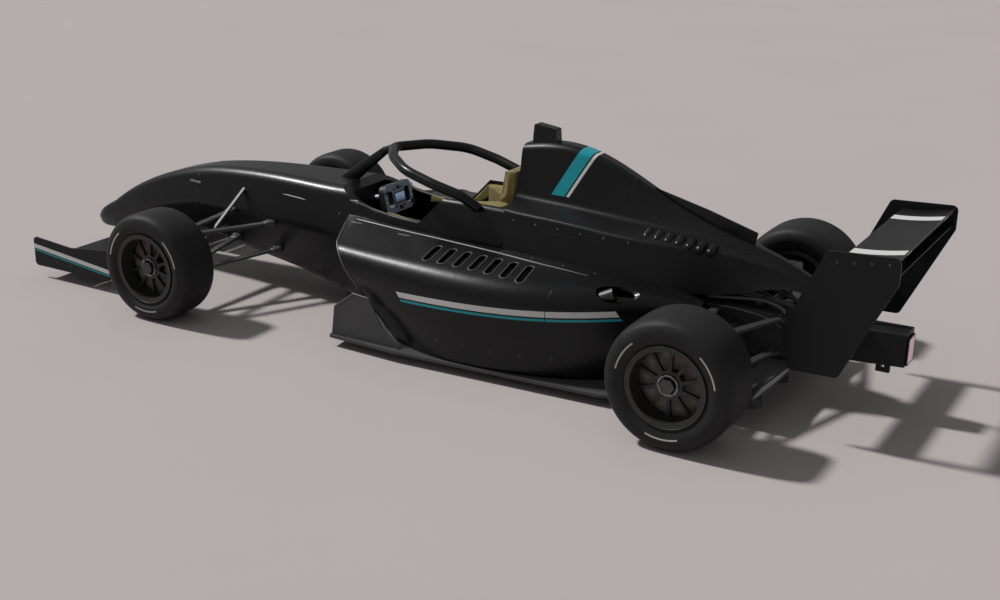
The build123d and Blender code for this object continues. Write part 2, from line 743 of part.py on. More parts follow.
# Upright vanes at the front corners of the floor
VANE_OUTLINE = [
    (ahead_of_rear(1880), FLOOR_TOP),
    (ahead_of_rear(1862), 205),
    (ahead_of_rear(1750), 290),
    (ahead_of_rear(1660), 282),
    (ahead_of_rear(1590), 150),
    (ahead_of_rear(1480), FLOOR_TOP),
]
VANE_Y = 655
VANE_THICKNESS = 7
with BuildPart() as floor_vanes:
    for side in SIDES.values():
        with BuildSketch(Plane.XZ.offset(-side * VANE_Y)):
            add(side_outline(VANE_OUTLINE))
        extrude(amount=VANE_THICKNESS / 2, both=True)
finish(floor_vanes, "floor_vanes")

# Diffuser behind the floor
DIFFUSER_FRONT = ahead_of_rear(-40)
DIFFUSER_REAR = ahead_of_rear(-275)
DIFFUSER_RISE = 120
DIFFUSER_HALF_WIDTH = 500
DIFFUSER_KICK = 18
STRAKE_COUNT = 4
STRAKE_THICKNESS = 8
STRAKE_BOTTOM = 112
with BuildPart() as diffuser:
    with BuildSketch(Plane.XZ):
        with BuildLine():
            low = FLOOR_TOP - FLOOR_THICKNESS
            middle_x = (DIFFUSER_FRONT + DIFFUSER_REAR) / 2
            sag_z = low + DIFFUSER_RISE / 2 - DIFFUSER_KICK
            under = ThreePointArc(
                (DIFFUSER_FRONT, low), (middle_x, sag_z), (DIFFUSER_REAR, low + DIFFUSER_RISE)
            )
            Line(under @ 1, (DIFFUSER_REAR, low + DIFFUSER_RISE + FLOOR_THICKNESS))
            ThreePointArc(
                (DIFFUSER_REAR, low + DIFFUSER_RISE + FLOOR_THICKNESS),
                (middle_x, sag_z + FLOOR_THICKNESS),
                (DIFFUSER_FRONT, FLOOR_TOP),
            )
            Line((DIFFUSER_FRONT, FLOOR_TOP), (DIFFUSER_FRONT, low))
        make_face()
    extrude(amount=DIFFUSER_HALF_WIDTH, both=True)
    strake_pitch = 2 * (DIFFUSER_HALF_WIDTH - STRAKE_THICKNESS / 2) / (STRAKE_COUNT - 1)
    for strake in range(STRAKE_COUNT):
        strake_y = (strake - (STRAKE_COUNT - 1) / 2) * strake_pitch
        with BuildSketch(Plane.XZ.offset(-strake_y)):
            with BuildLine():
                Polyline(
                    (DIFFUSER_FRONT, low + FLOOR_THICKNESS / 2),
                    (DIFFUSER_FRONT, low),
                    (DIFFUSER_REAR, STRAKE_BOTTOM),
                    (DIFFUSER_REAR, low + DIFFUSER_RISE + FLOOR_THICKNESS / 2),
                    (middle_x, sag_z + FLOOR_THICKNESS / 2),
                    close=True,
                )
            make_face()
        extrude(amount=STRAKE_THICKNESS / 2, both=True)
finish(diffuser, "diffuser")

# Engine block between the tub and the gearbox
ENGINE_REAR = ahead_of_rear(600)
ENGINE_TOP = 455
ENGINE_EDGE = 30
with BuildPart() as engine_block:
    with BuildSketch(station(ENGINE_REAR)):
        with Locations((0, (FLOOR_TOP + ENGINE_TOP) / 2)):
            Rectangle(2 * ENGINE_HALF_WIDTH, ENGINE_TOP - FLOOR_TOP)
    extrude(amount=ahead_of_rear(TUB_TAIL) - ENGINE_REAR)
    chamfer(engine_block.edges().filter_by(Axis.X).group_by(Axis.Z)[-1], ENGINE_EDGE)
finish(engine_block, "engine_block")

# Gearbox casing, tapered to the rear
CaseSection = namedtuple("CaseSection", "x half_width bottom top edge")
GEARBOX_SECTIONS = [
    CaseSection(ENGINE_REAR, 180, 90, 430, 40),
    CaseSection(ahead_of_rear(250), 125, 130, 420, 36),
    CaseSection(ahead_of_rear(-330), 95, 190, 395, 30),
]
OUTPUT_RADIUS = 52
OUTPUT_HALF_SPAN = 170
SHAFT_ENTRY = 60


def case_face(row):
    """Rounded rectangular cross section of a casing."""
    with BuildSketch(station(row.x)) as section:
        with Locations((0, (row.bottom + row.top) / 2)):
            RectangleRounded(2 * row.half_width, row.top - row.bottom, row.edge)
    return section.sketch


AXLE_PLANE_REAR = Plane(origin=(REAR_AXLE, 0, REAR_TYRE_RADIUS), x_dir=(1, 0, 0), z_dir=(0, 1, 0))
with BuildPart() as gearbox:
    loft(sections=[case_face(row) for row in GEARBOX_SECTIONS], ruled=True)
    with BuildSketch(AXLE_PLANE_REAR):
        Circle(OUTPUT_RADIUS)
    extrude(amount=OUTPUT_HALF_SPAN, both=True)
    for side in SIDES.values():
        with BuildSketch(AXLE_PLANE_REAR.offset(side * OUTPUT_HALF_SPAN)):
            Circle(HALF_SHAFT_RADIUS + HUB_FIT)
        extrude(amount=-side * SHAFT_ENTRY, mode=Mode.SUBTRACT)
finish(gearbox, "gearbox")

# Exhaust pipe
with BuildPart() as exhaust_pipe:
    add(exhaust_tube(EXHAUST_RADIUS, EXHAUST_MOUTH))
    add(exhaust_tube(EXHAUST_RADIUS - EXHAUST_WALL, EXHAUST_MOUTH), mode=Mode.SUBTRACT)
    add(engine_block.part, mode=Mode.SUBTRACT)
finish(exhaust_pipe, "exhaust_pipe")

# Rear crash box with the jacking lug below it
CRASH_SECTIONS = [
    CaseSection(ahead_of_rear(-330), 78, 225, 392, 14),
    CaseSection(ahead_of_rear(-742), 62, 246, 404, 14),
]
JACK_LUG_X = ahead_of_rear(-640)
JACK_LUG_LENGTH = 60
JACK_LUG_WIDTH = 24
JACK_LUG_DROP = 48
JACK_BORE_RADIUS = 9
JACK_BORE_Z = 216
LUG_ROOT = 40
with BuildPart() as crash_structure:
    loft(sections=[case_face(row) for row in CRASH_SECTIONS])
    with BuildSketch(Plane.XZ):
        with Locations((JACK_LUG_X, JACK_BORE_Z + (LUG_ROOT - JACK_LUG_DROP / 2) / 2)):
            Rectangle(JACK_LUG_LENGTH, LUG_ROOT + JACK_LUG_DROP / 2)
        with Locations((JACK_LUG_X, JACK_BORE_Z)):
            Circle(JACK_BORE_RADIUS, mode=Mode.SUBTRACT)
    extrude(amount=JACK_LUG_WIDTH / 2, both=True)
finish(crash_structure, "crash_structure")

# Rain light on the back of the crash box
LIGHT_HALF_WIDTH = 44
LIGHT_BOTTOM = 258
LIGHT_TOP = 374
LIGHT_DEPTH = 10
LIGHT_ROUND = 8
with BuildPart() as rain_light:
    with BuildSketch(station(CRASH_SECTIONS[-1].x)):
        with Locations((0, (LIGHT_BOTTOM + LIGHT_TOP) / 2)):
            RectangleRounded(2 * LIGHT_HALF_WIDTH, LIGHT_TOP - LIGHT_BOTTOM, LIGHT_ROUND)
    extrude(amount=-LIGHT_DEPTH)
finish(rain_light, "rain_light")

# Wing elements as extruded profiles
Element = namedtuple("Element", "lead_x lead_z trail_x trail_z camber thickness")
LEADING_EDGE = 0.3


def wing_profile(row):
    """Downforce profile in side view: an upper and a lower arc with a round leading edge."""
    lead = Vector(row.lead_x, row.lead_z)
    trail = Vector(row.trail_x, row.trail_z)
    chord = (trail - lead).normalized()
    up = Vector(-chord.Y, chord.X)
    up = up if up.Y > 0 else -up
    middle = (lead + trail) / 2 - up * row.camber
    nose = row.thickness * LEADING_EDGE
    lead_top = lead + chord * nose + up * nose
    lead_low = lead + chord * nose - up * nose
    trail_low = trail - up * TRAILING_EDGE
    with BuildSketch(Plane.XZ) as profile:
        with BuildLine():
            ThreePointArc(trail, middle + up * row.thickness / 2, lead_top)
            ThreePointArc(lead_top, lead, lead_low)
            ThreePointArc(lead_low, middle - up * row.thickness / 2, trail_low)
            Line(trail_low, trail)
        make_face()
    return profile.sketch


FRONT_PLATE_INNER = FRONT_WING_SPAN / 2 - ENDPLATE_THICKNESS
REAR_PLATE_INNER = REAR_WING_SPAN / 2 - ENDPLATE_THICKNESS

# Front wing main plane across the car
FRONT_MAIN = Element(ahead_of_front(1000), 96, ahead_of_front(730), 104, 8, 24)
with BuildPart() as front_wing_main_plane:
    with BuildSketch(Plane.XZ):
        add(wing_profile(FRONT_MAIN))
    extrude(amount=FRONT_PLATE_INNER, both=True)
finish(front_wing_main_plane, "front_wing_main_plane")

# Two flaps on each side of the nose
FRONT_FLAPS = [
    Element(ahead_of_front(742), 124, ahead_of_front(606), 168, 8, 14),
    Element(ahead_of_front(612), 184, ahead_of_front(486), 226, 8, 12),
]
with BuildPart() as front_wing_flaps:
    for element in FRONT_FLAPS:
        for side in SIDES.values():
            with BuildSketch(Plane.XZ.offset(-side * FLAP_INNER_Y)):
                add(wing_profile(element))
            extrude(amount=-side * (FRONT_PLATE_INNER - FLAP_INNER_Y))
finish(front_wing_flaps, "front_wing_flaps")

# Front wing end plates
FRONT_PLATE_OUTLINE = [
    (ahead_of_front(1040), 66),
    (ahead_of_front(1040), 230),
    (ahead_of_front(760), 208),
    (ahead_of_front(470), 240),
    (ahead_of_front(470), 66),
]
FRONT_PLATE_ROUND = 22
with BuildPart() as front_wing_endplates:
    for side in SIDES.values():
        with BuildSketch(Plane.XZ.offset(-side * FRONT_PLATE_INNER)):
            add(side_outline(FRONT_PLATE_OUTLINE, FRONT_PLATE_ROUND))
        extrude(amount=-side * ENDPLATE_THICKNESS)
finish(front_wing_endplates, "front_wing_endplates")

# Pylons that hang the front wing from the nose
WING_PYLON_Y = 52
WING_PYLON_THICKNESS = 14
WING_PYLON_OUTLINE = [
    (ahead_of_front(960), 100),
    (ahead_of_front(930), 200),
    (ahead_of_front(700), 240),
    (ahead_of_front(750), 100),
]
with BuildPart() as front_wing_pylons:
    for side in SIDES.values():
        with BuildSketch(Plane.XZ.offset(-side * WING_PYLON_Y)):
            add(side_outline(WING_PYLON_OUTLINE))
        extrude(amount=WING_PYLON_THICKNESS / 2, both=True)
    add(nose_cone.part, mode=Mode.SUBTRACT)
    add(front_wing_main_plane.part, mode=Mode.SUBTRACT)
finish(front_wing_pylons, "front_wing_pylons")

# Rear wing elements
REAR_ELEMENTS = {
    "rear_wing_main_plane": Element(ahead_of_rear(-536), 722, ahead_of_rear(-764), 768, 16, 24),
    "rear_wing_flap": Element(ahead_of_rear(-530), 803, ahead_of_rear(-766), 838, 12, 18),
    "rear_beam_wing": Element(ahead_of_rear(-368), 424, ahead_of_rear(-540), 440, 8, 18),
}
REAR_WING_PARTS = {}
for element_name, element in REAR_ELEMENTS.items():
    with BuildPart() as wing_element:
        with BuildSketch(Plane.XZ):
            add(wing_profile(element))
        extrude(amount=REAR_PLATE_INNER, both=True)
    finish(wing_element, element_name)
    REAR_WING_PARTS[element_name] = wing_element.part

# Rear wing end plates
REAR_PLATE_OUTLINE = [
    (ahead_of_rear(-480), 843),
    (ahead_of_rear(-TAIL_OVERHANG), 857),
    (ahead_of_rear(-TAIL_OVERHANG), 745),
    (ahead_of_rear(-572), 306),
    (ahead_of_rear(-362), 300),
    (ahead_of_rear(-312), 462),
]
REAR_PLATE_ROUND = 26
with BuildPart() as rear_wing_endplates:
    for side in SIDES.values():
        with BuildSketch(Plane.XZ.offset(-side * REAR_PLATE_INNER)):
            add(side_outline(REAR_PLATE_OUTLINE, REAR_PLATE_ROUND))
        extrude(amount=-side * ENDPLATE_THICKNESS)
finish(rear_wing_endplates, "rear_wing_endplates")

# Pylon from the crash box up to the rear wing
REAR_PYLON_OUTLINE = [
    (ahead_of_rear(-400), 380),
    (ahead_of_rear(-530), 380),
    (ahead_of_rear(-680), 735),
    (ahead_of_rear(-585), 735),
]
REAR_PYLON_THICKNESS = 12
with BuildPart() as rear_wing_pylon:
    with BuildSketch(Plane.XZ):
        add(side_outline(REAR_PYLON_OUTLINE))
    extrude(amount=REAR_PYLON_THICKNESS / 2, both=True)
    add(crash_structure.part, mode=Mode.SUBTRACT)
    add(REAR_WING_PARTS["rear_wing_main_plane"], mode=Mode.SUBTRACT)
    add(REAR_WING_PARTS["rear_beam_wing"], mode=Mode.SUBTRACT)
finish(rear_wing_pylon, "rear_wing_pylon")


# Wheels, tyres, hubs and uprights
def wheel_plane(corner, side):
    """Plane through the axle at the tyre's middle: first axis forward, second axis outwards."""
    middle_y = side * (corner.outer_y - corner.width / 2)
    return Plane(
        origin=(corner.axle, middle_y, corner.radius), x_dir=(1, 0, 0), z_dir=(0, 0, side)
    )


def spin_axis(plane):
    """Axle line of a wheel plane, pointing outwards."""
    return Axis(plane.origin, plane.y_dir)


def axle_face(plane, outwards):
    """Plane square to the axle, at a distance outwards from the tyre's middle."""
    origin = plane.origin + plane.y_dir * outwards
    return Plane(origin=origin, x_dir=(1, 0, 0), z_dir=plane.y_dir)


def rim_half_width(corner):
    """Half the width of the rim that carries the corner's tyre."""
    return corner.width / 2 - RIM_INSET


for corner_name, corner in CORNERS.items():
    half = corner.width / 2
    rim_half = rim_half_width(corner)
    flange_face = rim_half - RIM_FLANGE_THICKNESS - BEAD_FIT
    seat_radius = RIM_SEAT_RADIUS + BEAD_FIT
    wall_radius = corner.radius - SHOULDER_DROP
    wall_lean = (half - flange_face) / (wall_radius - RIM_FLANGE_RADIUS)
    bead_half = half - wall_lean * (wall_radius - seat_radius)
    barrel_radius = RIM_SEAT_RADIUS - RIM_BARREL_THICKNESS
    spoke_face = rim_half - SPOKE_RECESS
    spoke_end = (barrel_radius + RIM_SEAT_RADIUS) / 2
    upright_face = -BALL_OFFSET + UPRIGHT_THICKNESS / 2
    disc_middle = upright_face + RUNNING_GAP + CALIPER_WALL + DISC_THICKNESS / 2
    upper_ball_z = corner.radius + UPPER_BALL_RISE
    lower_ball_z = corner.radius - LOWER_BALL_DROP
    for side_name, side in SIDES.items():
        place = f"{corner_name}_{side_name}"
        plane = wheel_plane(corner, side)
        axle = spin_axis(plane)

        # Slick tyre: a ring with bevelled shoulders and walls that lean in to the rim's flanges
        with BuildPart() as tyre:
            with BuildSketch(plane):
                with BuildLine():
                    Polyline(
                        (seat_radius, -bead_half),
                        (wall_radius, -half),
                        (corner.radius, -half + SHOULDER_WIDTH),
                        (corner.radius, half - SHOULDER_WIDTH),
                        (wall_radius, half),
                        (seat_radius, bead_half),
                        close=True,
                    )
                make_face()
            revolve(axis=axle)
        finish(tyre, f"tyre_{place}")

        # Rim with its barrel, flanges and spoked face
        with BuildPart() as wheel:
            with BuildSketch(plane):
                with BuildLine():
                    Polyline(
                        (barrel_radius, -rim_half),
                        (RIM_FLANGE_RADIUS, -rim_half),
                        (RIM_FLANGE_RADIUS, -rim_half + RIM_FLANGE_THICKNESS),
                        (RIM_SEAT_RADIUS, -rim_half + RIM_FLANGE_THICKNESS),
                        (RIM_SEAT_RADIUS, rim_half - RIM_FLANGE_THICKNESS),
                        (RIM_FLANGE_RADIUS, rim_half - RIM_FLANGE_THICKNESS),
                        (RIM_FLANGE_RADIUS, rim_half),
                        (barrel_radius, rim_half),
                        close=True,
                    )
                make_face()
                with BuildLine():
                    Polyline(
                        (HUB_SHAFT_RADIUS, spoke_face - SPOKE_THICKNESS),
                        (HUB_SHAFT_RADIUS, spoke_face),
                        (RIM_CENTRE_RADIUS, spoke_face),
                        (spoke_end, spoke_face - SPOKE_DISH),
                        (spoke_end, spoke_face - SPOKE_DISH - SPOKE_THICKNESS),
                        (RIM_CENTRE_RADIUS, spoke_face - SPOKE_THICKNESS),
                        close=True,
                    )
                make_face()
            revolve(axis=axle)
            with BuildSketch(axle_face(plane, spoke_face + SPOKE_DISH)):
                with BuildLine():
                    inner_r = RIM_CENTRE_RADIUS + WINDOW_MARGIN
                    outer_r = barrel_radius - WINDOW_MARGIN
                    half_turn = 180 / SPOKE_COUNT
                    half_spoke = SPOKE_WIDTH / 2
                    slope = radians(half_turn)
                    lean_x = half_spoke * sin(slope)
                    lean_y = half_spoke * cos(slope)
                    inner_point = (inner_r * cos(slope) + lean_x, inner_r * sin(slope) - lean_y)
                    outer_point = (outer_r * cos(slope) + lean_x, outer_r * sin(slope) - lean_y)
                    Line(inner_point, outer_point)
                    ThreePointArc(outer_point, (outer_r, 0), (outer_point[0], -outer_point[1]))
                    Line((outer_point[0], -outer_point[1]), (inner_point[0], -inner_point[1]))
                    Line((inner_point[0], -inner_point[1]), inner_point)
                make_face()
            window = extrude(amount=-2 * SPOKE_THICKNESS - 3 * SPOKE_DISH, mode=Mode.PRIVATE)
            for turn in range(SPOKE_COUNT):
                add(window.rotate(axle, turn * 360 / SPOKE_COUNT), mode=Mode.SUBTRACT)
        finish(wheel, f"wheel_{place}")

        # Hub with its brake disc and wheel nut, and the half shaft at the rear
        hub_inner = -BALL_OFFSET - UPRIGHT_THICKNESS / 2 - RUNNING_GAP
        with BuildPart() as hub:
            with BuildSketch(axle_face(plane, hub_inner)):
                Circle(HUB_SHAFT_RADIUS)
            extrude(amount=spoke_face + NUT_LENGTH - hub_inner)
            with BuildSketch(axle_face(plane, disc_middle - DISC_THICKNESS / 2)):
                Circle(DISC_RADIUS)
            extrude(amount=DISC_THICKNESS)
            with BuildSketch(axle_face(plane, disc_middle)):
                Circle(HUB_FLANGE_RADIUS)
            extrude(amount=spoke_face - SPOKE_THICKNESS - disc_middle)
            with BuildSketch(axle_face(plane, spoke_face)):
                RegularPolygon(NUT_RADIUS, NUT_SIDES)
            extrude(amount=NUT_LENGTH)
            if corner_name == "rear":
                shaft_end = corner.outer_y - half - OUTPUT_HALF_SPAN + SHAFT_ENTRY - RUNNING_GAP
                with BuildSketch(axle_face(plane, -shaft_end)):
                    Circle(HALF_SHAFT_RADIUS)
                extrude(amount=shaft_end + hub_inner)
        finish(hub, f"hub_{place}")

        # Upright with its bearing, ball joint pins and brake caliper
        upright_y = side * (corner.outer_y - half - BALL_OFFSET)
        ball_top = upper_ball_z - BALL_BOSS_HEIGHT / 2 - AXIAL_GAP
        ball_foot = lower_ball_z + BALL_BOSS_HEIGHT / 2 + AXIAL_GAP
        slot_half = DISC_THICKNESS / 2 + RUNNING_GAP
        caliper_half = slot_half + CALIPER_WALL
        caliper_top = barrel_radius - 2 * RUNNING_GAP
        with BuildPart() as upright:
            with BuildSketch(axle_face(plane, -BALL_OFFSET - UPRIGHT_THICKNESS / 2)):
                Circle(BEARING_RADIUS)
            extrude(amount=UPRIGHT_THICKNESS)
            with Locations((corner.axle, upright_y, (ball_top + ball_foot) / 2)):
                Box(POST_LENGTH, POST_WIDTH, ball_top - ball_foot)
            with Locations((corner.axle, upright_y, (upper_ball_z + lower_ball_z) / 2)):
                Cylinder(BALL_PIN_RADIUS, upper_ball_z - lower_ball_z + BALL_BOSS_HEIGHT)
            with BuildSketch(plane):
                with BuildLine():
                    Polyline(
                        (-CALIPER_INNER_RADIUS, disc_middle - caliper_half),
                        (-caliper_top, disc_middle - caliper_half),
                        (-caliper_top, disc_middle + caliper_half),
                        (-CALIPER_INNER_RADIUS, disc_middle + caliper_half),
                        (-CALIPER_INNER_RADIUS, disc_middle + slot_half),
                        (-DISC_RADIUS - RUNNING_GAP, disc_middle + slot_half),
                        (-DISC_RADIUS - RUNNING_GAP, disc_middle - slot_half),
                        (-CALIPER_INNER_RADIUS, disc_middle - slot_half),
                        close=True,
                    )
                make_face()
            caliper = revolve(axis=axle, revolution_arc=CALIPER_SPAN, mode=Mode.PRIVATE)
            add(caliper.rotate(axle, -CALIPER_SPAN / 2))
            arm_inner = -BALL_OFFSET - POST_WIDTH / 2
            arm_outer = disc_middle - slot_half
            with BuildSketch(axle_face(plane, arm_inner)):
                with Locations((-CALIPER_ARM_LENGTH / 2, 0)):
                    Rectangle(CALIPER_ARM_LENGTH, CALIPER_ARM_HEIGHT)
            extrude(amount=arm_outer - arm_inner)
            if corner_name == "front":
                eye_gap = ROD_EYE_HEIGHT + 2 * ROD_EYE_GAP
                arm_length = STEER_ARM_REACH + ROD_EYE_RADIUS
                for level in (1, -1):
                    level_z = TRACK_ROD_HEIGHT + level * (eye_gap + STEER_ARM_THICKNESS) / 2
                    with Locations((corner.axle + arm_length / 2, upright_y, level_z)):
                        Box(arm_length, STEER_ARM_WIDTH, STEER_ARM_THICKNESS)
                with Locations((TRACK_ROD_X, upright_y, TRACK_ROD_HEIGHT)):
                    Cylinder(ROD_PIN_RADIUS, eye_gap + STEER_ARM_THICKNESS)
            with BuildSketch(axle_face(plane, hub_inner)):
                Circle(HUB_SHAFT_RADIUS + HUB_FIT)
            extrude(amount=2 * corner.width, mode=Mode.SUBTRACT)
        finish(upright, f"{corner_name}_upright_{side_name}")

# Wishbones and pushrods
ArmFeet = namedtuple("ArmFeet", "front_x front_z rear_x rear_z foot_y")
FRONT_FEET = {
    "upper": ArmFeet(ahead_of_front(38), 417, ahead_of_front(-295), 397, 200),
    "lower": ArmFeet(ahead_of_front(36), 262, ahead_of_front(-290), 252, 200),
}
REAR_FEET = {
    "upper": ArmFeet(ahead_of_rear(110), 392, ahead_of_rear(-215), 380, 110),
    "lower": ArmFeet(ahead_of_rear(120), 205, ahead_of_rear(-190), 220, 110),
}
ROD_FOOT_SHARE = 0.12
ROD_TOPS = {
    "front": (ahead_of_front(-38), 130, 562),
    "rear": (ahead_of_rear(130), 60, 390),
}


def ball_joint(corner, side, level):
    """Ball joint of a corner at the upper or lower level."""
    rise = UPPER_BALL_RISE if level == "upper" else -LOWER_BALL_DROP
    ball_y = corner.outer_y - corner.width / 2 - BALL_OFFSET
    return (corner.axle, side * ball_y, corner.radius + rise)


def ball_boss(centre, mode):
    """Boss around a ball joint, or the bore through it."""
    bore = mode == Mode.SUBTRACT
    radius = BALL_PIN_RADIUS + BALL_FIT if bore else BALL_BOSS_RADIUS
    height = 2 * BALL_BOSS_HEIGHT if bore else BALL_BOSS_HEIGHT
    with BuildPart() as boss:
        with Locations(centre):
            Cylinder(radius, height)
    return boss.part


ARM_PARTS = {}
for corner_name, feet_table, carrier in (
    ("front", FRONT_FEET, tub_skin.part),
    ("rear", REAR_FEET, gearbox.part),
):
    corner = CORNERS[corner_name]
    for level, feet in feet_table.items():
        with BuildPart() as wishbones:
            for side in SIDES.values():
                ball = ball_joint(corner, side, level)
                foot_y = side * (feet.foot_y - FOOT_DEPTH)
                for foot in ((feet.front_x, feet.front_z), (feet.rear_x, feet.rear_z)):
                    add(streamlined_bar(ball, (foot[0], foot_y, foot[1]), ARM_CHORD, ARM_THICKNESS))
                add(ball_boss(ball, Mode.ADD))
                add(ball_boss(ball, Mode.SUBTRACT), mode=Mode.SUBTRACT)
            add(carrier, mode=Mode.SUBTRACT)
        finish(wishbones, f"{corner_name}_{level}_wishbones")
        ARM_PARTS[corner_name, level] = wishbones.part

# Pushrods from the lower wishbones up into the tub and the gearbox
with BuildPart() as suspension_rods:
    for corner_name, feet in (("front", FRONT_FEET["lower"]), ("rear", REAR_FEET["lower"])):
        corner = CORNERS[corner_name]
        top_x, top_y, top_z = ROD_TOPS[corner_name]
        for side in SIDES.values():
            ball = Vector(*ball_joint(corner, side, "lower"))
            middle = Vector(
                (feet.front_x + feet.rear_x) / 2,
                side * feet.foot_y,
                (feet.front_z + feet.rear_z) / 2,
            )
            start = ball + (middle - ball) * ROD_FOOT_SHARE
            end = (top_x, side * top_y, top_z)
            add(streamlined_bar((start.X, start.Y, start.Z), end, ROD_CHORD, ROD_THICKNESS))
    add(ARM_PARTS["front", "lower"], mode=Mode.SUBTRACT)
    add(ARM_PARTS["rear", "lower"], mode=Mode.SUBTRACT)
    add(tub_skin.part, mode=Mode.SUBTRACT)
    add(gearbox.part, mode=Mode.SUBTRACT)
finish(suspension_rods, "suspension_rods")

# Steering rack with its two track rods
RACK_EYE_Y = CORNERS["front"].outer_y - FRONT_TYRE_WIDTH / 2 - BALL_OFFSET
with BuildPart() as steering_rack:
    for side in SIDES.values():
        eye = (TRACK_ROD_X, side * RACK_EYE_Y, TRACK_ROD_HEIGHT)
        add(round_bar((TRACK_ROD_X, 0, TRACK_ROD_HEIGHT), eye, TRACK_ROD_RADIUS))
        with Locations(eye):
            Cylinder(ROD_EYE_RADIUS, ROD_EYE_HEIGHT)
    for side in SIDES.values():
        with Locations((TRACK_ROD_X, side * RACK_EYE_Y, TRACK_ROD_HEIGHT)):
            Cylinder(ROD_EYE_BORE, 2 * ROD_EYE_HEIGHT, mode=Mode.SUBTRACT)
finish(steering_rack, "steering_rack")
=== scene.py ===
# %% [markdown]
# # An open wheel racing car, dressed in Blender
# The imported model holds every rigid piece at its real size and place. This lesson adds finishes, rounded
# tyres, padding and small hardware. Each step says what the thing is on the real car, then how it is made
# here.

import json
import math

import bmesh
import bpy
import numpy as np
from mathutils import Matrix, Vector
from mathutils.bvhtree import BVHTree


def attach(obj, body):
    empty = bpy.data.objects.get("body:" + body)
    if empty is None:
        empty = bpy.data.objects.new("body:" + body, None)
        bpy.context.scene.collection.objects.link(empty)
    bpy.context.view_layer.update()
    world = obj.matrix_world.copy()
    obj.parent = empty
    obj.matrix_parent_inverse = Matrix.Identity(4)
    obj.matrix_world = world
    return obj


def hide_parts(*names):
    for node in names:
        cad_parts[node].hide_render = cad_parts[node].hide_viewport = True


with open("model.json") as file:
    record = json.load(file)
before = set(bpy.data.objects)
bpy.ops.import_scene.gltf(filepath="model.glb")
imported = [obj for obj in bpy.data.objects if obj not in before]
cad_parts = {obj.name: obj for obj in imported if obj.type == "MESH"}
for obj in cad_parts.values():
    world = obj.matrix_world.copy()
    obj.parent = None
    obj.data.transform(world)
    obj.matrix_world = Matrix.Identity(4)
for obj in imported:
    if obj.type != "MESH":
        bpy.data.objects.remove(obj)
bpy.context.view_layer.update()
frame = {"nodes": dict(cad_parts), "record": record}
nodes = frame["nodes"]

FRONT_AXLE = 1.215
REAR_AXLE = -1.660
SIDES = ((1, "left"), (-1, "right"))
DOWN = (0, 0, -1)
INWARD = (0, -1, 0)


def ahead(distance):
    """X of a place that many metres ahead of the rear axle."""
    return REAR_AXLE + distance


def add_object(name, data):
    """A new object that holds the data, linked to the scene."""
    made = bpy.data.objects.new(name, data)
    bpy.context.scene.collection.objects.link(made)
    return made


def unit(vectors):
    """Each vector divided by its own length."""
    return vectors / np.linalg.norm(vectors, axis=-1, keepdims=True)


# %% [markdown]
# ## The camera
# Points of known place in a photograph fix its camera. The wheel centres, the ground under them and the
# wing ends gave this place, turn and focal length. Three unit vectors (right, up and back) are the
# columns of the camera's matrix, so no Euler angles are guessed.

# %% Camera
IMAGE_WIDTH = 1000
SENSOR_WIDTH = 36
FAR_CLIP = 200
FOCAL_PIXELS = 1371.7324
CAMERA_PLACE = np.array([-3.6735, 5.6752, 2.4703])
CAMERA_YAW, CAMERA_PITCH, CAMERA_ROLL = -1.0405, -0.3395, 0.0151


def camera_turn(yaw, pitch, roll):
    """Columns right, up and back: the view direction from yaw and pitch, then a roll about it."""
    forward = np.array([math.cos(pitch) * math.cos(yaw), math.cos(pitch) * math.sin(yaw), math.sin(pitch)])
    right = unit(np.cross(forward, [0, 0, 1]))
    up = np.cross(right, forward)
    rolled_right = math.cos(roll) * right + math.sin(roll) * up
    rolled_up = math.cos(roll) * up - math.sin(roll) * right
    return np.column_stack([rolled_right, rolled_up, -forward])


camera_data = bpy.data.cameras.new("camera")
camera_data.sensor_width = SENSOR_WIDTH
camera_data.lens = SENSOR_WIDTH * FOCAL_PIXELS / IMAGE_WIDTH
camera_data.clip_end = FAR_CLIP
camera = add_object("camera", camera_data)
placed = np.eye(4)
placed[:3, :3] = camera_turn(CAMERA_YAW, CAMERA_PITCH, CAMERA_ROLL)
placed[:3, 3] = CAMERA_PLACE
camera.matrix_world = Matrix(placed.tolist())
bpy.context.scene.camera = camera
print("lens", round(camera_data.lens, 2), "mm")

# %% [markdown]
# ## Surfaces from grids
# Nearly every added piece is a grid of points: one direction runs along it and the other goes round it.
# The grid is one numpy formula, and its faces are the index of each point and of its neighbours. A shell
# is a pair, points and quads, so shells are copied and joined before any Blender object exists.

# %% Shells
def skin(grid, ring_rows=False, ring_columns=False):
    """Quads between neighbours in a grid. A ring direction also joins its last line to its first."""
    index = np.arange(grid.shape[0] * grid.shape[1]).reshape(grid.shape[:2])
    if ring_rows:
        index = np.concatenate([index, index[:1]])
    if ring_columns:
        index = np.concatenate([index, index[:, :1]], axis=1)
    quads = np.stack([index[:-1, :-1], index[1:, :-1], index[1:, 1:], index[:-1, 1:]], axis=-1)
    return grid.reshape(-1, 3), quads.reshape(-1, 4)


def copies(shell, turns, places):
    """One shell many times: each copy is turned by its 3 by 3 matrix, then moved to its place."""
    points, quads = shell
    moved = np.einsum("kij,nj->kni", turns, points) + places[:, None, :]
    steps = np.arange(len(places))[:, None, None] * len(points)
    return moved.reshape(-1, 3), (quads[None] + steps).reshape(-1, 4)


def joined(*shells):
    """Several shells as one: later quads count on from the earlier points."""
    starts = np.cumsum([0] + [len(points) for points, quads in shells[:-1]])
    quads = np.concatenate([shell[1] + start for shell, start in zip(shells, starts)])
    return np.concatenate([shell[0] for shell in shells]), quads


def image(shell):
    """A shell's image on the other side of the car: y becomes -y, and the quads run the other way."""
    return shell[0] * [1, -1, 1], shell[1][:, ::-1]


def mirrored(shell):
    """A shell together with its image."""
    return joined(shell, image(shell))


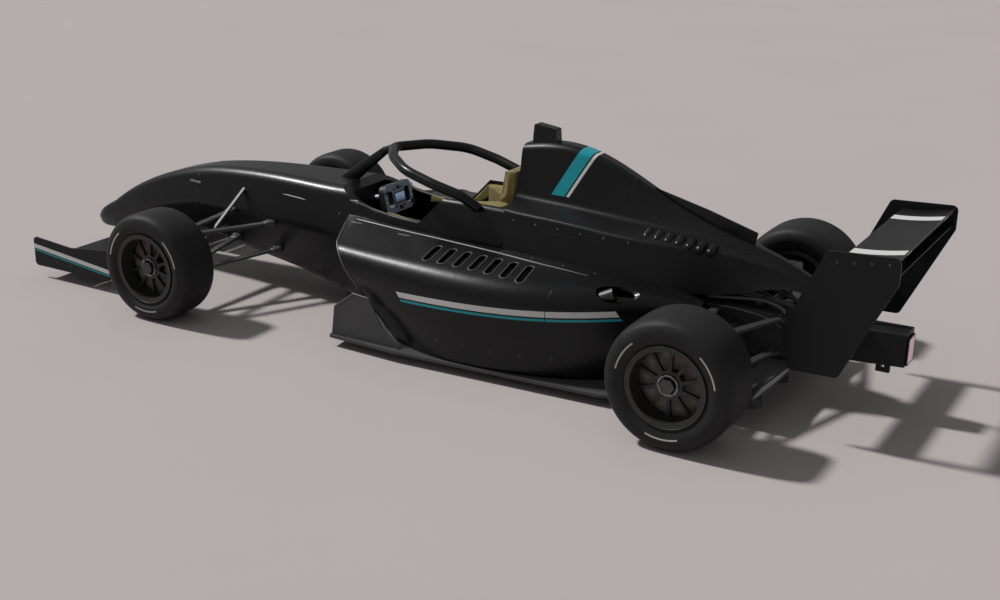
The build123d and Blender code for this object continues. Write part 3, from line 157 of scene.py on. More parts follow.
def turn_to(normals):
    """Matrices whose third column is each normal; the first is square to it and as level as can be."""
    normals = unit(np.atleast_2d(normals))
    upright = np.abs(normals[:, 2:]) > 0.95
    right = unit(np.cross(np.where(upright, [[1.0, 0, 0]], [[0, 0, 1.0]]), normals))
    return np.stack([right, np.cross(normals, right), normals], axis=-1)


print("shell tools ready")

# %% Turned, swept and slab forms
def turned(profile, count):
    """A profile of (radius, height) in millimetres turned about Z: x = r cos a, y = r sin a."""
    radius, height = np.asarray(profile, float).T / 1000
    angle = np.linspace(0, 2 * np.pi, count, endpoint=False)
    level = np.outer(height, np.ones(count))
    grid = np.stack([np.outer(radius, np.cos(angle)), np.outer(radius, np.sin(angle)), level], axis=-1)
    return skin(grid, ring_columns=True)


def flowing(points, count, closed=False):
    """A smooth line through points: cubic stretches whose slopes are half the step between neighbours."""
    points = np.asarray(points, float)
    if closed:
        around = np.concatenate([points[-1:], points, points[:2]])
        place = np.linspace(0, len(points), count, endpoint=False)
        first = place.astype(int)
    else:
        around = np.concatenate([2 * points[:1] - points[1:2], points, 2 * points[-1:] - points[-2:-1]])
        place = np.linspace(0, len(points) - 1, count)
        first = np.minimum(place.astype(int), len(points) - 2)
    t = (place - first)[:, None]
    a, b, c, d = (around[first + step] for step in range(4))
    return b + (c - a) * t / 2 + (2 * a - 5 * b + 4 * c - d) * t**2 / 2 + (3 * b - a - 3 * c + d) * t**3 / 2


def swept(path, section, across):
    """A closed section (along across, square to it) carried along a path, with both ends closed."""
    path = np.asarray(path, float)
    run = unit(np.gradient(path, axis=0))
    across = np.broadcast_to(np.asarray(across, float), path.shape)
    across = unit(across - run * np.sum(across * run, axis=1, keepdims=True))
    lift = np.cross(run, across)
    section = np.asarray(section, float)
    if section.ndim == 2:
        section = np.broadcast_to(section, (len(path), *section.shape))
    grid = path[:, None] + section[..., :1] * across[:, None] + section[..., 1:] * lift[:, None]
    ends = [np.broadcast_to(row.mean(axis=0), row.shape)[None] for row in (grid[0], grid[-1])]
    return skin(np.concatenate([ends[0], grid, ends[1]]), ring_columns=True)


def oval(width, height, count=16, squareness=1.0):
    """Points round an oval. Below 1, squareness flattens the sides towards a rounded rectangle."""
    angle = np.linspace(0, 2 * np.pi, count, endpoint=False)
    wide = np.sign(np.cos(angle)) * np.abs(np.cos(angle)) ** squareness
    high = np.sign(np.sin(angle)) * np.abs(np.sin(angle)) ** squareness
    return np.stack([wide * width / 2, high * height / 2], axis=-1)


def corner_ring(width, height, corner, count):
    """For points round a rounded rectangle: the centre of each one's corner arc, and its way from there."""
    angle = (np.arange(count) + 0.5) * 2 * np.pi / count
    ring = np.stack([np.cos(angle), np.sin(angle)], axis=-1)
    return np.sign(ring) * [width / 2 - corner, height / 2 - corner], ring


def slab(width, height, depth, corner, edge, count=40):
    """A plate on z = 0: each level is a rounded rectangle, drawn in by edge (1 - sin t) near both faces."""
    middle, ring = corner_ring(width, height, corner, count)
    t = np.linspace(0, np.pi / 2, 5)
    inset = np.concatenate([edge * (1 - np.sin(t)), edge * (1 - np.sin(t))[::-1]])
    level = np.concatenate([edge * (1 - np.cos(t)), depth - edge * (1 - np.cos(t))[::-1]])
    flat = middle[None] + ring[None] * (corner - inset)[:, None, None]
    grid = np.concatenate([flat, np.broadcast_to(level[:, None, None], (len(level), count, 1))], axis=-1)
    poles = [np.broadcast_to([0.0, 0.0, z], (1, count, 3)) for z in (0.0, depth)]
    return skin(np.concatenate([poles[0], grid, poles[1]]), ring_columns=True)


print("form tools ready")

# %% From a shell to a piece
SHARP_ANGLE = math.radians(38)


def make_piece(name, shell, finish, body="chassis"):
    """A mesh object: doubles merged, faces turned outwards, smooth up to a sharp edge, riding on a body."""
    mesh = bpy.data.meshes.new(name)
    mesh.from_pydata(shell[0].tolist(), [], shell[1].tolist())
    work = bmesh.new()
    work.from_mesh(mesh)
    bmesh.ops.remove_doubles(work, verts=work.verts, dist=1e-6)
    bmesh.ops.dissolve_degenerate(work, dist=1e-7, edges=work.edges)
    bmesh.ops.recalc_face_normals(work, faces=work.faces)
    work.to_mesh(mesh)
    work.free()
    mesh.shade_smooth()
    mesh.set_sharp_from_angle(angle=SHARP_ANGLE)
    mesh.materials.append(finish)
    piece = add_object(name, mesh)
    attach(piece, body)
    print(name, len(mesh.polygons), "faces")
    return piece


def cast(node, starts, way):
    """Where rays from the starts first meet a solid, and the way its surface faces there."""
    starts = np.asarray(starts, float)
    ways = np.broadcast_to(np.asarray(way, float), starts.shape)
    tree = BVHTree.FromObject(nodes[node], bpy.context.evaluated_depsgraph_get())
    found = [tree.ray_cast(Vector(start), Vector(aim)) for start, aim in zip(starts.tolist(), ways.tolist())]
    kept = [hit for hit in found if hit[0] is not None]
    return np.array([list(hit[0]) for hit in kept]), np.array([list(hit[1]) for hit in kept])


# %% [markdown]
# ## Shader sums as plain expressions
# A material's pattern is arithmetic on the place of a point. This class wraps a socket, so that `1 -
# mask` or `x * 3 > 0.2` adds the Math nodes itself. Other kinds of node come from the method `node`.

# %% A socket that does arithmetic
def both_ways(operation):
    """Two methods for one operation: with the wire before the other value, and with it after."""
    return (
        lambda wire, other: wire.maths(operation, wire, other),
        lambda wire, other: wire.maths(operation, other, wire),
    )


class Wire:
    """A node's output. An expression on it adds the Math nodes that work it out."""

    def __init__(self, tree, socket):
        self.tree = tree
        self.socket = socket

    def node(self, kind, settings=None, inputs=None, output=0):
        """Adds a node of that kind: its settings first, then the values or links of its sockets."""
        made = self.tree.nodes.new(kind)
        for key, value in (settings or {}).items():
            setattr(made, key, value)
        for key, value in (inputs or {}).items():
            if isinstance(value, Wire):
                self.tree.links.new(value.socket, made.inputs[key])
            else:
                made.inputs[key].default_value = value
        return Wire(self.tree, made.outputs[output])

    def maths(self, operation, *values):
        return self.node("ShaderNodeMath", {"operation": operation}, dict(enumerate(values)))

    __add__, __radd__ = both_ways("ADD")
    __sub__, __rsub__ = both_ways("SUBTRACT")
    __mul__, __rmul__ = both_ways("MULTIPLY")
    __gt__, __lt__ = both_ways("GREATER_THAN")[0], both_ways("LESS_THAN")[0]

    def root(self):
        return self.maths("SQRT", self)

    def size(self):
        return self.maths("ABSOLUTE", self)

    def wave(self):
        return self.maths("SINE", self)

    def axes(self):
        """The three parts of a place, each as a Wire."""
        return [self.node("ShaderNodeSeparateXYZ", None, {0: self}, part) for part in range(3)]

    def stretched(self, x, y, z):
        """The place with each axis multiplied, so that a noise read from it is drawn out."""
        return self.node("ShaderNodeVectorMath", {"operation": "MULTIPLY"}, {0: self, 1: (x, y, z)})

    def noise(self, scale, detail=3.0, roughness=0.55):
        """Soft random spots, about one over scale apart."""
        inputs = {"Vector": self, "Scale": scale, "Detail": detail, "Roughness": roughness}
        return self.node("ShaderNodeTexNoise", None, inputs)

    def band(self, low, high):
        """1 between two values and 0 elsewhere."""
        return (self > low) * (self < high)

    def colour(self, low, high):
        """Runs from one colour to another as this value goes from 0 to 1. Each may be a Wire."""
        ends = [end if isinstance(end, Wire) else (*end, 1) for end in (low, high)]
        return self.node("ShaderNodeMix", {"data_type": "RGBA"}, {0: self, 6: ends[0], 7: ends[1]}, 2)

    def bump(self, strength, distance):
        """A normal that leans as if this height, times the distance, were there."""
        return self.node("ShaderNodeBump", None, {"Strength": strength, "Distance": distance, "Height": self})


def as_finish(recipe):
    """Turns a function from a place to a shader's inputs into one that makes a named material."""

    def make(name, *looks):
        material = bpy.data.materials.new(name)
        material.use_nodes = True
        tree = material.node_tree
        place = tree.nodes.new("ShaderNodeTexCoord").outputs["Object"]
        for key, value in recipe(Wire(tree, place), *looks).items():
            socket = tree.nodes["Principled BSDF"].inputs[key.replace("_", " ")]
            if isinstance(value, Wire):
                tree.links.new(value.socket, socket)
            else:
                socket.default_value = value
        return material

    return make


print("shader sums ready")

# %% [markdown]
# ## Floor and light
# The car stands on plain pale ground. One broad sun from ahead and above gives soft shoulder highlights
# and a shadow that falls rearwards, and an even grey sky fills the rest.

# %% Floor and light
FLOOR_REACH = 60.0
GROUND_PALE = (0.475, 0.432, 0.425)
GROUND_DARK = (0.440, 0.402, 0.396)
SKY = (0.25, 0.25, 0.255)
SUN_STRENGTH = 3.1
SUN_FROM = (0.87, 0.135, 1.0)
SUN_ANGLE = math.radians(5)


@as_finish
def clouded(place, rough, specular, scale, detail, deep, pale):
    """One roughness, and a colour that drifts between two shades."""
    colour = place.noise(scale, detail).colour(deep, pale)
    return dict(Base_Color=colour, Roughness=rough, Specular_IOR_Level=specular)


ground_mesh = bpy.data.meshes.new("ground")
ground_corners = np.array([[-1, -1, 0], [1, -1, 0], [1, 1, 0], [-1, 1, 0]]) * FLOOR_REACH
ground_mesh.from_pydata(ground_corners.tolist(), [], [[0, 1, 2, 3]])
ground = add_object("ground", ground_mesh)
ground_mesh.materials.append(clouded("pale_ground", 0.9, 0.1, 0.6, 4, GROUND_DARK, GROUND_PALE))

world = bpy.data.worlds.new("even_sky")
world.use_nodes = True
world.node_tree.nodes["Background"].inputs["Color"].default_value = (*SKY, 1)
bpy.context.scene.world = world

sun_data = bpy.data.lights.new("broad_sun", "SUN")
sun_data.energy = SUN_STRENGTH
sun_data.angle = SUN_ANGLE
sun = add_object("broad_sun", sun_data)
sun.rotation_mode = "QUATERNION"
sun.rotation_quaternion = Vector(SUN_FROM).to_track_quat("Z", "Y")
bpy.context.scene.view_settings.view_transform = "Standard"
print("ground and light set")

# %% [markdown]
# ## Lacquer
# The body is sprayed black and rubbed to a satin gloss, with a cloudy depth, dust in its roughness and a
# faint ripple. Panel joints and plain stripes are comparisons on the coordinates, so they stay sharp at
# any distance.

# %% Lacquer
LACQUER_DEEP = (0.0035, 0.0035, 0.004)
LACQUER_THIN = (0.0065, 0.0065, 0.007)
STRIPE_WHITE = (0.62, 0.62, 0.60)
STRIPE_TEAL = (0.012, 0.30, 0.36)
JOINT_HALF_WIDTH = 0.0016
JOINT_DARK = (0.001, 0.001, 0.001)


@as_finish
def lacquer(place, joints=(), stripes=()):
    """Near-black gloss. Joints are (axis, value); a stripe is a function of x, y, z and its colour."""
    parts = place.axes()
    cloud = place.noise(7, 4)
    dust = place.noise(60, 6)
    ripple = place.noise(420, 2)
    colour = cloud.colour(LACQUER_DEEP, LACQUER_THIN)
    for mask, paint in stripes:
        worn = mask(*parts) * ((dust < 0.72) * 0.12 + 0.88)
        colour = worn.colour(colour, paint)
    height = ripple * 0.01
    for axis, value in joints:
        line = (parts[axis] - value).size() < JOINT_HALF_WIDTH
        colour = line.colour(colour, JOINT_DARK)
        height = height - line
    return dict(
        Specular_IOR_Level=0.28,
        Coat_Weight=0.06,
        Coat_Roughness=0.16,
        Base_Color=colour,
        Roughness=0.27 + dust * 0.13,
        Normal=height.bump(0.35, 0.0015),
    )


def pod_stripe(low, high):
    """A band along the car's side between two heights, with slanted ends."""
    return lambda x, y, z: (z + x * 0.045).band(low, high) * (x - z * 0.6).band(ahead(0.20), ahead(1.28))


def slanted_band(start, width, floor):
    """A leaning band on an upright panel: x + 0.55 z lies within a width, above a floor height."""
    return lambda x, y, z: (x + z * 0.55).band(start, start + width) * (z > floor)


pod_paint = lacquer(
    "pod_lacquer",
    [(0, ahead(1.86)), (0, ahead(0.72))],
    [(pod_stripe(0.318, 0.346), STRIPE_WHITE), (pod_stripe(0.298, 0.310), STRIPE_TEAL)],
)
cover_paint = lacquer(
    "cover_lacquer",
    [(0, ahead(0.58)), (2, 0.640)],
    [
        (slanted_band(ahead(1.335), 0.070, 0.775), STRIPE_TEAL),
        (slanted_band(ahead(1.310), 0.016, 0.775), STRIPE_WHITE),
    ],
)
body_paint = lacquer("body_lacquer", [(0, FRONT_AXLE + 0.308), (0, FRONT_AXLE + 1.058), (0, ahead(2.33))])
print("three lacquers")

# %% [markdown]
# ## Woven composite
# Wings, floor and crash box are bare fibre sheet under resin. A twill is two sets of flat bundles,
# stepped sideways on every row. Two crossed sine ridges and a diagonal one give that at the size of a
# real bundle, and need no unwrapping.

# %% Woven composite
def twill(place, tow):
    """Woven bundles: the product of two crossed sine ridges, plus a slower diagonal one."""
    x, y, z = place.axes()
    across = ((x + z * 0.5) * (math.pi / tow)).wave()
    along = ((y + z * 0.5) * (math.pi / tow)).wave()
    diagonal = ((x + y + z) * (math.pi / (2 * tow))).wave()
    return across * along * 0.35 + diagonal * 0.3 + 0.5


@as_finish
def composite(place, deep, pale, rough, stripes=(), tow=0.004):
    """Bare woven composite under satin resin, with plain stripes sprayed over it."""
    weave = twill(place, tow)
    cloud = place.noise(9, 4)
    colour = (weave * 0.5 + cloud * 0.5).colour(deep, pale)
    for mask, paint in stripes:
        colour = mask(*place.axes()).colour(colour, paint)
    return dict(
        Specular_IOR_Level=0.2,
        Base_Color=colour,
        Roughness=rough + cloud * 0.16,
        Normal=weave.bump(0.12, 0.0004),
    )


WING_LOOK = ((0.006, 0.006, 0.0065), (0.016, 0.016, 0.017), 0.30)
finishes = {
    "paint": body_paint,
    "wing": composite("wing_composite", *WING_LOOK),
    "floor": composite("floor_composite", (0.050, 0.050, 0.051), (0.086, 0.086, 0.088), 0.38),
    "crash": composite("crash_box_composite", (0.007, 0.007, 0.0075), (0.02, 0.02, 0.021), 0.34),
}
plate_finish = composite(
    "front_plate_composite",
    *WING_LOOK,
    [
        (lambda x, y, z: (z - x * 0.10).band(-0.060, -0.036), STRIPE_WHITE),
        (lambda x, y, z: (z - x * 0.10).band(-0.074, -0.066), STRIPE_TEAL),
    ],
)
flap_stripe = (lambda x, y, z: (y.size() - 0.30).size() < 0.035, STRIPE_WHITE)
flap_finish = composite("rear_flap_composite", *WING_LOOK, [flap_stripe])
print(len(finishes) + 2, "sheet finishes")

# %% [markdown]
# ## Metals, laminate and lens
# Castings, enamelled arms and turned steel differ in how grey, rough and metallic they are, so one
# function serves them all. The skid plank is pressed from long fibres, so its noise is drawn out along
# the car. The rain lamp's lens is moulded in small prisms.

# %% Metals, laminate and lens
@as_finish
def worn_metal(place, deep, pale, rough, metallic, grain=180):
    """Metal with a fine grain, darker in the hollows of a slow cloud."""
    cloud = place.noise(14, 5)
    fine = place.noise(grain, 4)
    return dict(
        Metallic=metallic,
        Base_Color=(cloud * 0.6 + fine * 0.4).colour(deep, pale),
        Roughness=rough + fine * 0.18,
        Normal=fine.bump(0.12, 0.0005),
    )


@as_finish
def laminated_plank(place):
    """Pressed sheet: long streaks along the car, scuffed dark where it has touched the road."""
    streak = place.stretched(3, 90, 90).noise(1, 5)
    scuff = place.noise(5, 6)
    return dict(
        Specular_IOR_Level=0.25,
        Base_Color=scuff.colour((0.14, 0.10, 0.065), streak.colour((0.22, 0.17, 0.11), (0.36, 0.29, 0.2))),
        Roughness=0.6 + scuff * 0.25,
        Normal=streak.bump(0.25, 0.0008),
    )


@as_finish
def tinted_lens(place):
    """Moulded lens: a grid of small square prisms in pale red."""
    x, y, z = place.axes()
    cells = ((y * 420).wave() * (z * 420).wave()).size()
    colour = cells.colour((0.55, 0.30, 0.30), (0.78, 0.56, 0.54))
    return dict(
        Roughness=0.22,
        Specular_IOR_Level=0.6,
        Emission_Strength=0.25,
        Base_Color=colour,
        Emission_Color=colour,
        Normal=cells.bump(0.4, 0.001),
    )


@as_finish
def cooling_core(place):
    """Rows of flat tubes with folded fins between them: a coarse wave in height, a fine one across. Low
    places are darker: painted shade.
    """
    x, y, z = place.axes()
    tubes = (z * (2 * math.pi / 0.010)).wave() > 0.1
    fins = (y * (2 * math.pi / 0.0025)).wave()
    height = tubes * 0.6 + fins * 0.2
    # The low gaps between tubes and fins are coloured dark: painted shade in the recesses.
    colour = height.colour((0.012, 0.012, 0.013), (0.10, 0.10, 0.105))
    return dict(
        Metallic=0.7,
        Base_Color=colour,
        Roughness=0.4 + place.noise(80) * 0.2,
        Normal=height.bump(0.6, 0.002),
    )


METALS = {
    "column": ("column_alloy", (0.10, 0.10, 0.11), (0.22, 0.22, 0.23), 0.34, 0.9),
    "casting": ("cast_case", (0.035, 0.034, 0.033), (0.085, 0.083, 0.08), 0.45, 0.6, 260),
    "exhaust": ("heated_pipe", (0.030, 0.026, 0.024), (0.085, 0.076, 0.070), 0.34, 0.8),
    "arm": ("arm_enamel", (0.030, 0.030, 0.031), (0.055, 0.055, 0.057), 0.38, 0.1),
    "rim": ("rim_enamel", (0.026, 0.025, 0.024), (0.055, 0.053, 0.051), 0.30, 0.45),
    "steel": ("hub_steel", (0.05, 0.05, 0.05), (0.13, 0.13, 0.13), 0.36, 0.9),
    "upright": ("upright_alloy", (0.05, 0.05, 0.05), (0.12, 0.12, 0.12), 0.40, 0.7),
}
for slot, recipe in METALS.items():
    finishes[slot] = worn_metal(*recipe)
finishes["plank"] = laminated_plank("laminated_plank")
finishes["lamp"] = tinted_lens("rain_lens")
core_finish = cooling_core("cooling_core")
bolt_finish = worn_metal("zinc_bolt", (0.16, 0.16, 0.165), (0.34, 0.34, 0.35), 0.30, 0.95, 600)
print(len(finishes), "slot finishes so far")

# %% [markdown]
# ## Tyres
# A slick is a fat ring with a nearly flat tread, round shoulders and walls that bulge before they tuck in
# behind the rim's flange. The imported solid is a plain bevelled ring. Here a smooth closed profile is
# carried round the axle, and its soft shoulder catches the light.

# %% Tyre rubber
WHEEL_SEAT = 0.1652
MARK_RADIUS = 0.2235
MARK_HALF_WIDTH = 0.0035


@as_finish
def slick_rubber(place, axle_x, axle_z, outer_y):
    """Rubber: fine rings on the walls, scrub marks on the tread and a broken pale line on the outer wall."""
    x, y, z = place.axes()
    radius = ((x - axle_x) * (x - axle_x) + (z - axle_z) * (z - axle_z)).root()
    angle = (z - axle_z).maths("ARCTAN2", z - axle_z, x - axle_x)
    tread = radius > axle_z - 0.012
    rings = (radius * (2 * math.pi / 0.0045)).wave() * (1 - tread)
    scrub = place.stretched(1, 14, 1).noise(22, 5) * tread
    dashes = (angle * 3).wave() > 0.55
    line = (radius - MARK_RADIUS).size() < MARK_HALF_WIDTH
    mark = line * dashes * (y.size() > outer_y - 0.06)
    cloud = place.noise(16, 5)
    rubber = cloud.colour((0.010, 0.010, 0.010), (0.022, 0.022, 0.0215))
    return dict(
        Specular_IOR_Level=0.24,
        Base_Color=mark.colour(rubber, (0.45, 0.45, 0.43)),
        Roughness=0.50 + cloud * 0.14 + tread * 0.06,
        Normal=(rings * 0.25 + scrub * 0.8 + place.noise(500, 2) * 0.15).bump(0.25, 0.0012),
    )


front_rubber = slick_rubber("front_slick_rubber", FRONT_AXLE, 0.280, 0.915)
rear_rubber = slick_rubber("rear_slick_rubber", REAR_AXLE, 0.290, 0.925)
finishes["tyre"] = front_rubber
print("two rubbers")

# %% Tyre forms
def tyre_profile(crown, width):
    """Closed line of (radius, across): crown, shoulder, bulging wall, bead and back along the seat."""
    half = width / 2
    outer_wall = [
        (crown, 0.30 * half),
        (crown - 0.0012, 0.58 * half),
        (crown - 0.0065, 0.76 * half),
        (crown - 0.019, 0.90 * half),
        (crown - 0.042, 0.975 * half),
        (crown - 0.068, 0.985 * half),
        (0.196, half - 0.0105),
        (0.1815, half - 0.0175),
        (WHEEL_SEAT + 0.002, half - 0.0245),
        (WHEEL_SEAT, half - 0.034),
    ]
    inner_wall = [(radius, -across) for radius, across in reversed(outer_wall)]
    return outer_wall + inner_wall


def tyre_shell(axle_x, crown, width, middle_y, around=144, across=72):
    """The profile carried round the axle: x = axle + r cos a, z = crown + r sin a, y = middle + across."""
    radius, along = flowing(tyre_profile(crown, width), across, closed=True).T
    angle = np.linspace(0, 2 * np.pi, around, endpoint=False)[:, None]
    x = axle_x + radius * np.cos(angle)
    z = crown + radius * np.sin(angle)
    return skin(np.stack([x, middle_y + along + 0 * x, z], axis=-1), ring_rows=True, ring_columns=True)


WHEELS = {
    "front_left": (FRONT_AXLE, 0.280, 0.250, 0.790, front_rubber),
    "front_right": (FRONT_AXLE, 0.280, 0.250, -0.790, front_rubber),
    "rear_left": (REAR_AXLE, 0.290, 0.300, 0.775, rear_rubber),
    "rear_right": (REAR_AXLE, 0.290, 0.300, -0.775, rear_rubber),
}
for corner, (axle_x, crown, width, middle_y, rubber) in WHEELS.items():
    shell = tyre_shell(axle_x, crown, width, middle_y)
    tyre = make_piece(f"slick_{corner}", shell, rubber, f"wheel_{corner}")
    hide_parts(f"tyre_{corner}")

# %% [markdown]
# ## Padded surround
# Round the driver's head and shoulders lies a foam collar in a tough woven cover. Foam pushes its cover
# outwards, as air pressure does to cloth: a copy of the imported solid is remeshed, drawn in a little and
# inflated for twenty frames. A cap on how far a point may move keeps the pad in its place.

# %% Woven cover
@as_finish
def woven_cover(place):
    """Tight plain weave: crossed fine waves, with faded patches and darker dirt in the hollows."""
    x, y, z = place.axes()
    thread = math.pi / 0.0016
    weave = ((x + z * 0.4) * thread).wave() * ((y + z * 0.6) * thread).wave()
    cloud = place.noise(11, 5)
    grime = place.noise(45, 6)
    faded = (cloud * 0.7 + grime * 0.3).colour((0.185, 0.142, 0.044), (0.360, 0.288, 0.105))
    return dict(
        Specular_IOR_Level=0.25,
        Sheen_Weight=0.15,
        Base_Color=(weave * 0.18 + 0.18).colour(faded, (0.085, 0.064, 0.020)),
        Roughness=0.62 + cloud * 0.2,
        Normal=(weave * 0.5 + grime * 0.5).bump(0.3, 0.0009),
    )


finishes["pad"] = woven_cover("woven_pad_cover")
print("pad cover ready")

# %% Inflate a copy of the collar
PAD_VOXEL = 0.005
PAD_SHRINK = 0.004
PAD_CAP = 0.006
PAD_FRAMES = 20
PAD_PRESSURE = 4


def vertex_array(mesh, source="vertices", field="co"):
    """Coordinates or normals of a mesh as one array."""
    values = np.empty(len(mesh.vertices) * 3, np.float32)
    getattr(mesh, source).foreach_get(field, values)
    return values.reshape(-1, 3)


def solved_mesh(piece):
    """A new mesh: the piece as its modifiers leave it."""
    return bpy.data.meshes.new_from_object(piece.evaluated_get(bpy.context.evaluated_depsgraph_get()))


def remeshed_copy(node, name):
    """A new object from a solid's merged copy, remeshed into small even quads."""
    work = bmesh.new()
    work.from_mesh(nodes[node].data)
    bmesh.ops.remove_doubles(work, verts=work.verts, dist=1e-5)
    mesh = bpy.data.meshes.new(name)
    work.to_mesh(mesh)
    work.free()
    piece = add_object(name, mesh)
    remesh = piece.modifiers.new("even_quads", "REMESH")
    remesh.mode = "VOXEL"
    remesh.voxel_size = PAD_VOXEL
    solved = solved_mesh(piece)
    piece.modifiers.clear()
    piece.data = solved
    return piece


def inflate(piece):
    """Draws the skin in, blows it up as cloth, and keeps each point within the cap of where it began."""
    mesh = piece.data
    began = vertex_array(mesh) - vertex_array(mesh, "vertex_normals", "vector") * PAD_SHRINK
    mesh.vertices.foreach_set("co", began.ravel())
    mesh.update()
    cloth = piece.modifiers.new("air_pressure", "CLOTH")
    cloth.settings.use_pressure = True
    cloth.settings.uniform_pressure_force = PAD_PRESSURE
    cloth.settings.effector_weights.gravity = 0
    cloth.point_cache.frame_end = PAD_FRAMES
    for step in range(1, PAD_FRAMES + 1):
        bpy.context.scene.frame_set(step)
    moved = vertex_array(solved_mesh(piece)) - began
    length = np.linalg.norm(moved, axis=1, keepdims=True)
    piece.modifiers.clear()
    capped = began + moved * np.minimum(1, PAD_CAP / np.maximum(length, 1e-9))
    mesh.vertices.foreach_set("co", capped.ravel())
    mesh.update()
    bpy.context.scene.frame_set(1)
    print("pad moved up to", round(float(length.max()) * 1000, 1), "mm before the cap")


pad = remeshed_copy("cockpit_surround", "padded_surround")
inflate(pad)
smoothing = pad.modifiers.new("smooth_cover", "SUBSURF")
smoothing.levels = smoothing.render_levels = 1
pad.data.shade_smooth()
pad.data.materials.clear()
pad.data.materials.append(finishes["pad"])
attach(pad, "chassis")
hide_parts("cockpit_surround")
print("pad", len(pad.data.polygons), "quads before smoothing")

# %% [markdown]
# ## Steering wheel face
# A racing wheel is a flat plate with two grips, a small screen, push buttons and turning knobs. The plate
# is packed already, and a comparison with the face plane makes its face pale. The controls are small
# turned and slab forms, set out on that plane by two unit vectors.

# %% Face plane and its colours
WHEEL_CENTRE = np.array([ahead(1.930), 0.0, 0.598])
COLUMN_TILT = math.radians(12)
FACE_OUT = np.array([-math.cos(COLUMN_TILT), 0.0, math.sin(COLUMN_TILT)])
FACE_UP = np.array([math.sin(COLUMN_TILT), 0.0, math.cos(COLUMN_TILT)])
FACE_RIGHT = np.array([0.0, -1.0, 0.0])
FACE_TURN = np.column_stack([FACE_RIGHT, FACE_UP, FACE_OUT])


@as_finish
def wheel_plate(place):
    """Moulded grip, pale slate on the face plane: the place along the face's normal is compared."""
    x, y, z = place.axes()
    depth = (x - WHEEL_CENTRE[0]) * FACE_OUT[0] + (z - WHEEL_CENTRE[2]) * FACE_OUT[2]
    face = depth > -0.0015
    cloud = place.noise(30, 5)
    pebble = place.noise(700, 3)
    dark = pebble.colour((0.010, 0.011, 0.013), (0.026, 0.028, 0.032))
    pale = cloud.colour((0.20, 0.24, 0.33), (0.30, 0.35, 0.45))
    return dict(
        Specular_IOR_Level=0.4,
        Base_Color=face.colour(dark, pale),
        Roughness=0.42 + pebble * 0.2,
        Normal=pebble.bump(0.3, 0.0006),
    )


def on_face(name, shell, spots, finish):
    """A piece made of copies of a shell at (right, up, out) spots of the wheel's face, in millimetres."""
    spots = np.asarray(spots, float) / 1000
    places = WHEEL_CENTRE + spots @ FACE_TURN.T
    shells = copies(shell, np.broadcast_to(FACE_TURN, (len(spots), 3, 3)), places)
    return make_piece(name, shells, finish, "steering_wheel")


finishes["grip"] = wheel_plate("wheel_plate")
print("wheel face looks along", FACE_OUT.round(2))

# %% Screen, buttons and knobs
@as_finish
def glowing_screen(place):
    """A plain readout: soft light that fades out downwards on dark glass."""
    x, y, z = place.axes()
    lit = (z * 24 - 13.85) * (place.noise(160) * 0.3 + 0.7)
    colour = lit.colour((0.04, 0.06, 0.10), (0.26, 0.36, 0.50))
    return dict(Roughness=0.12, Emission_Strength=0.5, Base_Color=colour, Emission_Color=colour)


@as_finish
def plain_plastic(place, deep, pale):
    """Moulded plastic with a fine grain in its gloss."""
    grain = place.noise(900, 3)
    return dict(
        Specular_IOR_Level=0.45,
        Base_Color=grain.colour(deep, pale),
        Roughness=0.32 + grain * 0.2,
        Normal=grain.bump(0.2, 0.0004),
    )


screen_finish = glowing_screen("screen_glass")
PLASTICS = {
    "black": ((0.008, 0.008, 0.009), (0.02, 0.02, 0.021)),
    "white": ((0.55, 0.55, 0.54), (0.70, 0.70, 0.69)),
    "red": ((0.32, 0.02, 0.02), (0.45, 0.04, 0.03)),
    "green": ((0.02, 0.16, 0.06), (0.04, 0.26, 0.10)),
}
plastics = {tint: plain_plastic(f"{tint}_plastic", *shades) for tint, shades in PLASTICS.items()}

SCREEN_SPOT = [(0, 0, 6.0)]
on_face("wheel_screen", slab(0.080, 0.044, 0.002, 0.004, 0.0008), SCREEN_SPOT, screen_finish)
BEZEL_HALF = [(44, 0), (43, 24), (0, 26), (-43, 24)]
bezel_line = BEZEL_HALF + [(-x, -y) for x, y in BEZEL_HALF] + BEZEL_HALF[:1]
bezel_path = np.column_stack([flowing(bezel_line, 97), np.zeros(97)]) / 1000
on_face("wheel_bezel", swept(bezel_path, oval(0.004, 0.004, 8), (0, 0, 1)), SCREEN_SPOT, plastics["black"])
button = turned([(0, 5.5), (4.2, 5.5), (5.2, 4.5), (5.6, 0), (7.2, 0), (7.2, -1)], 20)
BUTTON_SPOTS = {
    "red": [(-36, 46, 0), (36, -46, 0)],
    "green": [(36, 46, 0), (-36, -46, 0)],
    "white": [(-108, 12, 0), (108, 12, 0), (-108, -12, 0), (108, -12, 0)],
}
for tint, spots in BUTTON_SPOTS.items():
    on_face(f"wheel_buttons_{tint}", button, spots, plastics[tint])


def knob_shell(radius, height, ridges=14):
    """A turning knob: its side ripples, r = radius (1 + 0.06 cos(n a)), and its top is domed."""
    angle = np.linspace(0, 2 * np.pi, ridges * 6, endpoint=False)
    share = np.array([1.0, 1.0, 0.95, 0.8, 0.45, 0.0])[:, None]
    level = np.array([0.0, 0.8, 0.95, 1.0, 1.02, 1.02])[:, None] * height
    reach = radius * share * (1 + 0.06 * np.cos(ridges * angle) * (share > 0.9))
    grid = np.stack([reach * np.cos(angle), reach * np.sin(angle), level + 0 * angle], -1)
    return skin(grid, ring_columns=True)


KNOB_SPOTS = [(0, 52, 0), (0, -54, 0), (-108, 44, 0), (108, -44, 0)]
on_face("wheel_knobs", knob_shell(0.010, 0.011), KNOB_SPOTS, plastics["black"])
on_face("wheel_white_knob", knob_shell(0.010, 0.013), [(108, 44, 0)], plastics["white"])
paddle = slab(0.030, 0.078, 0.004, 0.010, 0.0015)
on_face("wheel_paddles", paddle, [(-96, 4, -46), (96, 4, -46)], plastics["black"])

